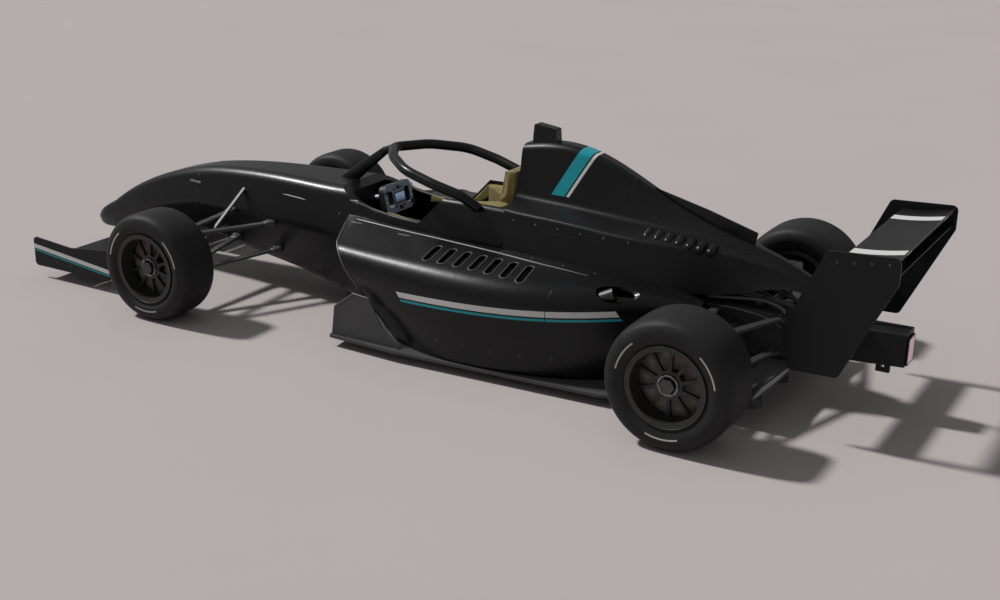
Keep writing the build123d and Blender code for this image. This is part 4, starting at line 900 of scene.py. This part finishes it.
# %% [markdown]
# ## Harness
# Two shoulder belts and two lap belts meet in a round turn-to-open buckle. Webbing is a flat ribbon: a
# thin oval section carried along a path on the seat. A cloth run would erase anything this thin.

# %% Webbing and buckle
@as_finish
def webbing(place):
    """Woven ribbon: a herringbone of fine diagonal ribs, darker at random worn places."""
    x, y, z = place.axes()
    ribs = ((y.size() + x * 0.8 - z * 0.8) * (2 * math.pi / 0.004)).wave()
    wear = place.noise(40, 5)
    colour = (ribs * 0.2 + wear * 0.6).colour((0.012, 0.013, 0.016), (0.045, 0.047, 0.055))
    return dict(
        Specular_IOR_Level=0.2,
        Sheen_Weight=0.1,
        Base_Color=colour,
        Roughness=0.65 + wear * 0.2,
        Normal=ribs.bump(0.35, 0.0008),
    )


BELT_SECTION = oval(0.048, 0.0036, 20, 0.45)
SHOULDER_LINE = [
    (1.262, 0.074, 0.594),
    (1.283, 0.074, 0.603),
    (1.304, 0.073, 0.570),
    (1.40, 0.066, 0.434),
    (1.50, 0.045, 0.294),
    (1.560, 0.024, 0.213),
]
LAP_LINE = [(1.60, 0.140, 0.225), (1.60, 0.128, 0.190), (1.592, 0.085, 0.176), (1.580, 0.026, 0.190)]


def belt(line, across, count=60):
    """A belt on the left side of the seat, and its image on the right."""
    path = flowing(np.array(line) + [REAR_AXLE, 0, 0], count)
    return mirrored(swept(path, BELT_SECTION, across))


web_finish = webbing("harness_webbing")
make_piece("shoulder_belts", belt(SHOULDER_LINE, (0, 1, 0)), web_finish)
make_piece("lap_belts", belt(LAP_LINE, (0.8, 0.1, 0.6)), web_finish)
BUCKLE_PROFILE = [(0, 16), (16, 16), (19, 13), (30, 12), (33, 8), (33, -6), (0, -6)]
BUCKLE_FACING = np.array([0.80, 0, 0.65])
buckle_place = np.array([[ahead(1.572), 0.0, 0.207]])
buckle = copies(turned(BUCKLE_PROFILE, 48), turn_to(BUCKLE_FACING), buckle_place)
make_piece("buckle", buckle, bolt_finish)

# %% [markdown]
# ## Wheel hardware
# Behind a racing wheel's open spokes lies a dished shroud that keeps brake heat off the rim, and outside
# a locking ring holds the wheel nut. Each is a profile turned once and laid along Y. The pegs and studs
# are one small shell copied round a circle.

# %% Parts turned about an axle
AXLE_TURN = {1: turn_to([0.0, 1.0, 0.0]), -1: turn_to([0.0, -1.0, 0.0])}
RIM_INSET = 0.010
NUT_DEPTH = 0.052
SHROUD_DEPTH = 0.107
PEG_CIRCLE = 0.0425
STUD_CIRCLE = 0.120


def on_axle(shell, corner, depth=0.0):
    """A shell turned so that its Z points out of the wheel, at a depth behind the tyre's outer face."""
    axle_x, crown, width, middle_y, rubber = WHEELS[corner]
    side = 1 if middle_y > 0 else -1
    face_y = middle_y + side * (width / 2 - depth)
    return copies(shell, AXLE_TURN[side], np.array([[axle_x, face_y, crown]]))


def round_circle(shell, count, radius, start=0.0):
    """Copies of a shell round a circle in its own XY plane, each turned to face outwards."""
    angle = start + np.arange(count) * 2 * np.pi / count
    zero, one = np.zeros(count), np.ones(count)
    rows = [np.cos(angle), -np.sin(angle), zero, np.sin(angle), np.cos(angle), zero, zero, zero, one]
    places = np.stack([radius * np.cos(angle), radius * np.sin(angle), zero], axis=-1)
    return copies(shell, np.stack(rows, axis=-1).reshape(-1, 3, 3), places)


LOCK_PROFILE = [(36, 0), (36.5, 7), (39, 9), (47, 9), (48.5, 6), (48.5, 0), (36, 0)]
PEG_PROFILE = [(0, 5), (3.8, 5), (4.8, 4), (4.8, 0), (0, 0)]
EDGE_PROFILE = [(176.5, 0), (177.2, 1.3), (179, 1.6), (180, 0.6), (180, -2), (176.5, -2), (176.5, 0)]
SHROUD_OUTSIDE = [(50, 0), (50, 2), (66, 6), (104, 8), (112, 11), (128, 11), (140, 4), (156.6, 0)]
SHROUD_INSIDE = [(156.6, -2), (139, 2), (127, 9), (113, 9), (105, 6), (66, 4), (50, 0)]
SHROUD_PROFILE = SHROUD_OUTSIDE + SHROUD_INSIDE
shroud_finish = worn_metal("brake_shroud", (0.17, 0.142, 0.125), (0.30, 0.258, 0.23), 0.5, 0.0)
lock_ring, peg, rim_edge, shroud = (
    turned(profile, count)
    for profile, count in ((LOCK_PROFILE, 64), (PEG_PROFILE, 16), (EDGE_PROFILE, 128), (SHROUD_PROFILE, 96))
)
print("wheel profiles turned")

# %% Hardware on four wheels
for corner in WHEELS:
    body = f"wheel_{corner}"
    pegs = on_axle(round_circle(peg, 6, PEG_CIRCLE), corner, NUT_DEPTH - 0.009)
    locks = joined(on_axle(lock_ring, corner, NUT_DEPTH), pegs)
    make_piece(f"lock_ring_{corner}", locks, bolt_finish, body)
    make_piece(f"rim_edge_{corner}", on_axle(rim_edge, corner, RIM_INSET), finishes["steel"], body)
    studs = on_axle(round_circle(peg, 12, STUD_CIRCLE), corner, SHROUD_DEPTH - 0.0105)
    dish = joined(on_axle(shroud, corner, SHROUD_DEPTH), studs)
    make_piece(f"brake_shroud_{corner}", dish, shroud_finish, body)

# %% [markdown]
# ## Panel screws
# Panels come off many times in a weekend, so quarter-turn screws hold them every hand's breadth. Rays
# sent at the bodywork give the place and slope under each one, so that it lies flush on any curve.

# %% Rows of screws
SCREW_PROFILE = [(0, 0.4), (1.4, 0.4), (1.6, 1.1), (4, 1.3), (5.2, 0.9), (6, 0.1), (6, -1), (0, -1)]
PANEL_SCREW = turned(SCREW_PROFILE, 14)
screw_finish = worn_metal("dark_screw", (0.035, 0.035, 0.036), (0.11, 0.11, 0.115), 0.34, 0.85, 600)


def screws_on(name, node, starts, way):
    """Screws where rays from the starts meet a solid, each turned to its slope."""
    places, normals = cast(node, starts, way)
    return make_piece(name, copies(PANEL_SCREW, turn_to(normals), places), screw_finish)


def line_of(start, end, count):
    """Evenly spaced points from one place to another."""
    return np.linspace(start, end, count)


def screw_rows(rows):
    """Rows given for the left side as solid, way and points: screws there, and on the right side too."""
    for side, word in SIDES:
        across = np.array([1, side, 1])
        for name, (node, way, points) in rows.items():
            screws_on(f"{name}_{word}", node.format(word), np.array(points) * across, way * across)


JOINT_X = FRONT_AXLE + 0.325
TIP_X = FRONT_AXLE + 1.045
screws_on("nose_screws", "nose_cone", line_of((JOINT_X, -0.075, 2), (JOINT_X, 0.075, 2), 3), DOWN)
screws_on("tip_screws", "nose_cone", line_of((TIP_X, -0.04, 2), (TIP_X, 0.04, 2), 2), DOWN)
LOW_LINE = line_of((ahead(1.70), 2, 0.155), (ahead(0.55), 2, 0.155), 9)
TOP_LINE = line_of((ahead(1.45), 0.325, 2), (ahead(0.62), 0.325, 2), 6)
COVER_LINE = line_of((ahead(1.10), 2, 0.660), (ahead(0.50), 2, 0.650), 6)
FLOOR_LINE = line_of((ahead(1.80), 0.668, 2), (ahead(0.50), 0.610, 2), 10)
REAR_LINE = line_of((ahead(-0.525), 2, 0.798), (ahead(-0.735), 2, 0.822), 4)
FRONT_LINE = line_of((FRONT_AXLE + 0.98, 2, 0.10), (FRONT_AXLE + 0.76, 2, 0.108), 3)
TUB_PLACES = [(ahead(2.145), 2, 0.526), (ahead(2.30), 2, 0.20), (ahead(2.55), 2, 0.20)]
PANEL_ROWS = {
    "nose_screws": ("nose_cone", INWARD, line_of((JOINT_X, 1, 0.30), (JOINT_X, 1, 0.56), 4)),
    "pod_low_screws": ("sidepod_{}", INWARD, LOW_LINE),
    "pod_top_screws": ("sidepod_{}", DOWN, TOP_LINE),
    "cover_screws": ("engine_cover", INWARD, COVER_LINE),
    "floor_screws": ("floor", DOWN, FLOOR_LINE),
    "rear_plate_screws": ("rear_wing_endplates", INWARD, REAR_LINE),
    "front_plate_screws": ("front_wing_endplates", INWARD, FRONT_LINE),
    "tub_screws": ("monocoque", INWARD, TUB_PLACES),
}
screw_rows(PANEL_ROWS)

# %% [markdown]
# ## Louvres
# Hot air leaves the sidepods through seven slots. Each has a rolled lip, which stiffens the thin panel,
# and deep inside a curved blade that leads the air up and back. A lip is a small round section carried
# along the slot's outline, laid on the surface that rays find. Its pale grey is a painted highlight.

# %% Lips and blades
LOUVRE_SLANT = math.radians(11)
LOUVRE_COUNT = 7
LOUVRE_PITCH = 0.084
LOUVRE_FIRST = ahead(1.395)
LOUVRE_MIDDLE_Y = 0.500
RAY_START = 2.0
LIP_OFFSET = 0.0015
LIP_RADIUS = 0.004


def slot_axes(slot, side):
    """Middle of a slot, the way along it and the way across it, all in plan."""
    along = np.array([-math.sin(LOUVRE_SLANT), side * math.cos(LOUVRE_SLANT)])
    across = np.array([math.cos(LOUVRE_SLANT), side * math.sin(LOUVRE_SLANT)])
    return np.array([LOUVRE_FIRST - slot * LOUVRE_PITCH, side * LOUVRE_MIDDLE_Y]), along, across


def ring_swept(path, radius, count=8):
    """A round section carried along a closed path. Its two ways are sideways and straight up."""
    upwards = np.array([0.0, 0.0, 1.0])
    sideways = unit(np.cross(np.roll(path, -1, axis=0) - np.roll(path, 1, axis=0), upwards))
    angle = np.linspace(0, 2 * np.pi, count, endpoint=False)[None, :, None]
    around = np.cos(angle) * sideways[:, None] + np.sin(angle) * upwards
    return skin(path[:, None] + radius * around, ring_rows=True, ring_columns=True)


def on_pod(side, plan):
    """Places on a sidepod's top below points of a plan."""
    return cast(POD_NODE[side], np.column_stack([plan, np.full(len(plan), RAY_START)]), DOWN)[0]


def lip(slot, side, half_length=0.090, half_width=0.019):
    """Outline of a rounded slot: two half circles joined by straights, a little outside the cut."""
    middle, along, across = slot_axes(slot, side)
    centre, ring = corner_ring(2 * half_length, 2 * half_width, half_width, 44)
    outline = centre + ring * (half_width + LIP_OFFSET)
    return ring_swept(on_pod(side, middle + outline @ np.stack([along, across])), LIP_RADIUS)


def blade(slot, side):
    """Thin curved strip deep in the slot: x back = sin t, depth = 1 - cos t over a quarter turn."""
    middle, along, across = slot_axes(slot, side)
    plan = middle + np.linspace(-0.072, 0.072, 15)[:, None] * along + across * 0.0235
    edge = on_pod(side, plan)
    t = np.linspace(0, np.pi / 2, 8)[:, None]
    back = np.append(across, 0) * (0.006 + 0.026 * np.sin(t))
    down = np.array([0, 0, 1.0]) * (0.016 + 0.024 * (1 - np.cos(t)))
    upper = edge[:, None] - back - down
    lower = upper - np.array([0, 0, 0.0024])
    return skin(np.concatenate([upper, lower[:, ::-1]], axis=1), ring_columns=True)


POD_NODE = {1: "sidepod_left", -1: "sidepod_right"}
# The lips' pale grey metal is a painted highlight along the edges of the black bodywork.
edge_highlight_finish = worn_metal("rolled_edge", (0.085, 0.085, 0.087), (0.15, 0.15, 0.154), 0.38, 0.6)
for side, word in SIDES:
    lips = joined(*[lip(slot, side) for slot in range(LOUVRE_COUNT)])
    make_piece(f"louvre_lips_{word}", lips, edge_highlight_finish)
    blades = joined(*[blade(slot, side) for slot in range(LOUVRE_COUNT)])
    make_piece(f"louvre_blades_{word}", blades, finishes["crash"])

# %% [markdown]
# ## Arm brackets
# Each suspension arm ends in a bracket on the tub or the gearbox, so that it can be unpinned. A bracket
# is a sleeve swept along the arm's own line, tall at its root and slim at its end, with one upright bolt.

# %% Arm brackets
BALLS = {
    ("front", "upper"): (FRONT_AXLE, 0.715, 0.400),
    ("front", "lower"): (FRONT_AXLE, 0.715, 0.190),
    ("rear", "upper"): (REAR_AXLE, 0.700, 0.410),
    ("rear", "lower"): (REAR_AXLE, 0.700, 0.200),
}
FEET = {
    ("front", "upper"): [(FRONT_AXLE + 0.038, 0.140, 0.417), (FRONT_AXLE - 0.295, 0.140, 0.397)],
    ("front", "lower"): [(FRONT_AXLE + 0.036, 0.140, 0.262), (FRONT_AXLE - 0.290, 0.140, 0.252)],
    ("rear", "upper"): [(ahead(0.110), 0.050, 0.392), (ahead(-0.215), 0.050, 0.380)],
    ("rear", "lower"): [(ahead(0.120), 0.050, 0.205), (ahead(-0.190), 0.050, 0.220)],
}
CARRIER = {"front": "monocoque", "rear": "gearbox"}
BOLT_PROFILE = [(0, -19), (7, -19), (8, -18), (8, -13), (4, -13), (4, 13), (8, 13), (8, 18), (7, 19), (0, 19)]
ARM_BOLT = turned(BOLT_PROFILE, 6)
SLEEVE_REACH = np.array([-6, 4, 18, 34, 43, 46]) / 1000
SLEEVE_SIZES = np.array([(64, 36), (62, 35), (56, 31), (51, 25), (49, 23), (46, 19)]) / 1000


def bracket(ball, foot, node):
    """Sleeve along an arm from 6 mm inside the carrier's skin to 46 mm outside, and the bolt through it."""
    ball, foot = np.array(ball), np.array(foot)
    way = unit(foot - ball)
    hit = cast(node, (foot - way * 0.25)[None], way)[0][0]
    path = hit - way * SLEEVE_REACH[:, None]
    section = np.stack([oval(width, height, 24, 0.55) for width, height in SLEEVE_SIZES])
    sleeve = swept(path, section, (1.0, 0.0, 0.0))
    return sleeve, (ARM_BOLT[0] + path[2], ARM_BOLT[1])


for corner in ("front", "rear"):
    sleeves, bolts = [], []
    for level in ("upper", "lower"):
        for foot in FEET[corner, level]:
            sleeve, bolt = bracket(BALLS[corner, level], foot, CARRIER[corner])
            sleeves.append(mirrored(sleeve))
            bolts.append(mirrored(bolt))
    make_piece(f"{corner}_arm_brackets", joined(*sleeves), finishes["arm"])
    make_piece(f"{corner}_arm_bolts", joined(*bolts), bolt_finish)

# %% [markdown]
# ## Latches and lips on the bodywork
# Flush latches hold the sidepod tops and the nose. Each is a thin rounded plate turned to the slope that
# a ray finds below it. The lips along the cockpit, the sidepods and the floor vanes are small ovals swept
# along their edges. Their pale grey is a painted highlight on those edges.

# %% Latches
latch_finish = worn_metal("latch_alloy", (0.10, 0.10, 0.105), (0.26, 0.26, 0.27), 0.28, 0.85, 400)


def latches_on(name, node, starts, way, plate):
    """Latch plates where rays meet a solid, each lying on its slope."""
    places, normals = cast(node, starts, way)
    shell = copies(plate, turn_to(normals), places - normals * 0.0015)
    return make_piece(name, shell, latch_finish)


TOP_LATCH = slab(0.010, 0.070, 0.004, 0.004, 0.0012)
SIDE_LATCH = slab(0.090, 0.011, 0.004, 0.004, 0.0012)
for side, word in SIDES:
    pod_places = np.array([[ahead(1.950), side * 0.345, 2], [ahead(1.645), side * 0.368, 2]])
    latches_on(f"pod_latches_{word}", POD_NODE[side], pod_places, DOWN, TOP_LATCH)
    nose_place = np.array([[FRONT_AXLE + 0.345, side, 0.520]])
    latches_on(f"nose_latch_{word}", "nose_cone", nose_place, (0, -side, 0), SIDE_LATCH)

# %% Rolled lips, pale grey as painted highlights
VANE_EDGE = [(1.879, 0.064), (1.862, 0.205), (1.750, 0.290), (1.660, 0.282), (1.590, 0.150), (1.484, 0.062)]
POD_LIP = [(1.985, 0.304), (1.940, 0.307), (1.705, 0.320), (1.405, 0.331)]
POD_LIP += [(1.113, 0.347), (0.888, 0.362), (0.640, 0.366)]
LIP_FADE = 0.2
MOUTH_SWEEP = math.radians(22)
MOUTH_RAKE = math.radians(32)
MOUTH_CORNER = np.array([ahead(2.035), 0.300, 0.540])
VANE_Y = 0.655
RAY_LENGTH = 0.3
COWL_EDGE = [(2.085, 0.214, 0.600), (2.000, 0.222, 0.594), (1.800, 0.240, 0.582), (1.640, 0.254, 0.572)]


def lip_on(node, starts, way, width, height):
    """A small oval swept along the line where rays meet a solid, half sunk in it, slim at both ends."""
    places, normals = cast(node, starts, way)
    along = np.linspace(0, 1, len(places))
    fade = np.clip(np.minimum(along, 1 - along) / LIP_FADE, 0.1, 1) ** 0.5
    return swept(places, oval(width, height, 10) * fade[:, None, None], normals)


def inlet_lip(side):
    """Lip round a sidepod's mouth: rays in the mouth's plane, from all round it towards its middle."""
    level = math.cos(MOUTH_RAKE)
    sweep = [math.cos(MOUTH_SWEEP), side * math.sin(MOUTH_SWEEP)]
    facing = np.array([level * sweep[0], level * sweep[1], -math.sin(MOUTH_RAKE)])
    corner = MOUTH_CORNER * [1, side, 1]
    middle = corner + np.array([0.0, side * 0.16, -0.12])
    middle = middle - facing * np.dot(middle - corner, facing)
    outward = unit(np.array([0, side, 0.0]) - facing * facing[1] * side)
    upward = np.cross(outward, facing) * -side
    angle = np.radians(np.linspace(132, -78, 64))[:, None]
    spread = np.cos(angle) * outward + np.sin(angle) * upward
    places, normals = cast(POD_NODE[side], middle + spread * 0.6 - facing * 0.004, -spread)
    return swept(places, oval(0.010, 0.010, 12), np.broadcast_to(facing, places.shape))


# Every lip below takes the pale finish: a painted highlight along its edge.
for side, word in SIDES:
    slope = np.array([0.0, side, 1.0])
    tub_line = line_of((ahead(2.55), side, 0.560), (ahead(2.385), side, 0.556), 9)
    shoulder = flowing([(ahead(x), side * y, z) for x, y, z in COWL_EDGE], 40) + slope * RAY_LENGTH
    pod_plan = flowing([(ahead(x), side * y, 2.0) for x, y in POD_LIP], 60)
    lips = {
        "inlet_lip": inlet_lip(side),
        "tub_lip": lip_on("monocoque", tub_line, (0, -side, 0), 0.006, 0.009),
        "cowl_lip": lip_on("monocoque", shoulder, -slope, 0.009, 0.020),
        "pod_lip": lip_on(POD_NODE[side], pod_plan, DOWN, 0.008, 0.014),
    }
    for name, shell in lips.items():
        make_piece(f"{name}_{word}", shell, edge_highlight_finish)
    corners = np.array([(ahead(x), side * VANE_Y, z) for x, z in VANE_EDGE])
    edges = [line_of(start, end, 9)[:-1] for start, end in zip(corners[:-1], corners[1:])]
    vane_lip = swept(np.concatenate([*edges, corners[-1:]]), oval(0.0105, 0.008, 12), (0, 1.0, 0))
    make_piece(f"vane_lip_{word}", vane_lip, edge_highlight_finish)

# %% [markdown]
# ## Gearbox fittings
# The tail of the engine cover leaves the gearbox open to the air. Its casing carries rows of bolts and
# two filler caps, and on each side two braided hoses and a cable run forward to the engine. A hose is a
# round section swept along a smooth line, and its braid is two crossed waves in the finish.

# %% Braided hoses
@as_finish
def braided(place, deep, pale):
    """Wire braid: two sets of slanting waves crossed over each other."""
    x, y, z = place.axes()
    one = ((x + y + z) * (2 * math.pi / 0.005)).wave()
    two = ((x - y - z) * (2 * math.pi / 0.005)).wave()
    weave = one * two * 0.5 + 0.5
    return dict(
        Metallic=0.6,
        Roughness=0.42,
        Base_Color=weave.colour(deep, pale),
        Normal=weave.bump(0.5, 0.0006),
    )


hose_finish = braided("wire_braid", (0.06, 0.062, 0.06), (0.34, 0.345, 0.335))
HOSES = {
    "oil_hose": (
        0.017,
        [(0.34, 0.128, 0.405), (0.22, 0.142, 0.425), (0.06, 0.130, 0.442)]
        + [(-0.10, 0.100, 0.448), (-0.19, 0.085, 0.420), (-0.20, 0.082, 0.395)],
    ),
    "water_hose": (
        0.013,
        [(0.34, 0.100, 0.410), (0.20, 0.100, 0.445), (0.02, 0.088, 0.455)]
        + [(-0.14, 0.052, 0.440), (-0.24, 0.030, 0.418), (-0.26, 0.026, 0.395)],
    ),
    "gear_cable": (
        0.008,
        [(0.34, 0.150, 0.392), (0.18, 0.158, 0.400), (0.02, 0.142, 0.402)]
        + [(-0.12, 0.122, 0.380), (-0.19, 0.112, 0.350), (-0.20, 0.108, 0.335)],
    ),
}
for name, (thickness, points) in HOSES.items():
    path = flowing(np.array(points) + [REAR_AXLE, 0, 0], 60)
    hose = swept(path, oval(thickness, thickness, 14), (0.0, 0.3, 1.0))
    make_piece(name, hose, hose_finish)
    make_piece(f"{name}_right", image(hose), hose_finish)

# %% Casing bolts and caps
CAP_PROFILE = [(0, 16), (17, 16), (20, 14), (21, 4), (26, 3), (27, -4), (0, -4)]
FILLER_CAP = turned(CAP_PROFILE, 40)
cap_starts = np.array([[ahead(-0.06), 0.03, 2], [ahead(-0.06), -0.03, 2]])
cap_place, cap_slope = cast("gearbox", cap_starts, DOWN)
make_piece("filler_caps", copies(FILLER_CAP, turn_to(cap_slope), cap_place), latch_finish)
HIGH_CASE_LINE = line_of((ahead(0.24), 1, 0.370), (ahead(-0.30), 1, 0.352), 10)
LOW_CASE_LINE = line_of((ahead(0.24), 1, 0.180), (ahead(-0.30), 1, 0.235), 10)
CASE_ROWS = {
    "case_high_bolts": ("gearbox", INWARD, HIGH_CASE_LINE),
    "case_low_bolts": ("gearbox", INWARD, LOW_CASE_LINE),
}
screw_rows(CASE_ROWS)

# %% [markdown]
# ## Wing trims
# Along a wing's trailing edge stands a small upright strip that holds the air down a little longer. It is
# a slim section as long as the wing, set on the edge.

# %% Trailing strips
def strip(edge_x, edge_z, start_y, end_y, height, lean):
    """A slim upright strip along Y, its foot on the trailing edge and leaning back by an angle."""
    rows = np.linspace(start_y, end_y, 12)
    path = np.stack([np.full(12, edge_x), rows, np.full(12, edge_z + height / 2)], axis=-1)
    across = (math.cos(lean), 0.0, math.sin(lean))
    return swept(path, oval(0.0024, height, 12, 0.45), across)


rear_strip = strip(ahead(-0.7655), 0.8365, -0.457, 0.457, 0.014, 0.25)
make_piece("rear_flap_strip", rear_strip, finishes["wing"])

# %% [markdown]
# ## Lamp frame and camera lens
# The rain lamp sits in a slim moulded frame, and the pod above the intake carries a small round lens.

# %% Frame and lens
def rounded_frame(width, height, rail, depth, corner, count=48):
    """A rounded rectangular ring: a small rounded section carried round an outline."""
    middle, ring = corner_ring(width, height, corner, count)
    section = oval(rail, depth, 12, 0.5)
    flat = middle[:, None] + ring[:, None] * (corner + section[None, :, :1])
    grid = np.concatenate([flat, np.broadcast_to(section[None, :, 1:], (count, 12, 1))], axis=-1)
    return skin(grid, ring_rows=True, ring_columns=True)


LAMP_PLACE = np.array([[ahead(-0.7475), 0, 0.316]])
lamp_ring = rounded_frame(0.094, 0.122, 0.006, 0.011, 0.010)
lamp_frame = copies(lamp_ring, turn_to([-1.0, 0.0, 0.0]), LAMP_PLACE)
make_piece("lamp_frame", lamp_frame, finishes["crash"])
LENS_PROFILE = [(0, 2.5), (3, 2.2), (6, 1.2), (7.5, 0), (8, 3), (10.5, 3.4), (11.5, 2.4), (11.5, -3), (0, -3)]
lens_shell = turned(LENS_PROFILE, 32)
lens_place, lens_slope = cast("camera_pod", np.array([[1.0, 0.0, 1.045]]), (-1, 0, 0))
lens_finish = clouded("lens_glass", 0.06, 0.7, 40, 3, (0.004, 0.005, 0.012), (0.012, 0.014, 0.03))
make_piece("camera_lens", copies(lens_shell, turn_to(lens_slope), lens_place), lens_finish)

# %% [markdown]
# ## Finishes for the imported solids
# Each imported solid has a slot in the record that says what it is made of, and takes that slot's finish. A
# few get their own, because their stripes or joints belong only there.

# %% Give every solid its finish
OWN_FINISH = {
    "sidepod_left": pod_paint,
    "sidepod_right": pod_paint,
    "engine_cover": cover_paint,
    "front_wing_endplates": plate_finish,
    "rear_wing_flap": flap_finish,
    "radiators": core_finish,
}


def set_finish(piece, material):
    """Puts one material on all of a piece's slots, or adds the first slot."""
    for slot in piece.material_slots:
        slot.material = material
    if not piece.material_slots:
        piece.data.materials.append(material)


for row in frame["record"]["subparts"]:
    set_finish(nodes[row["node"]], OWN_FINISH.get(row["node"], finishes[row["material_slot"]]))
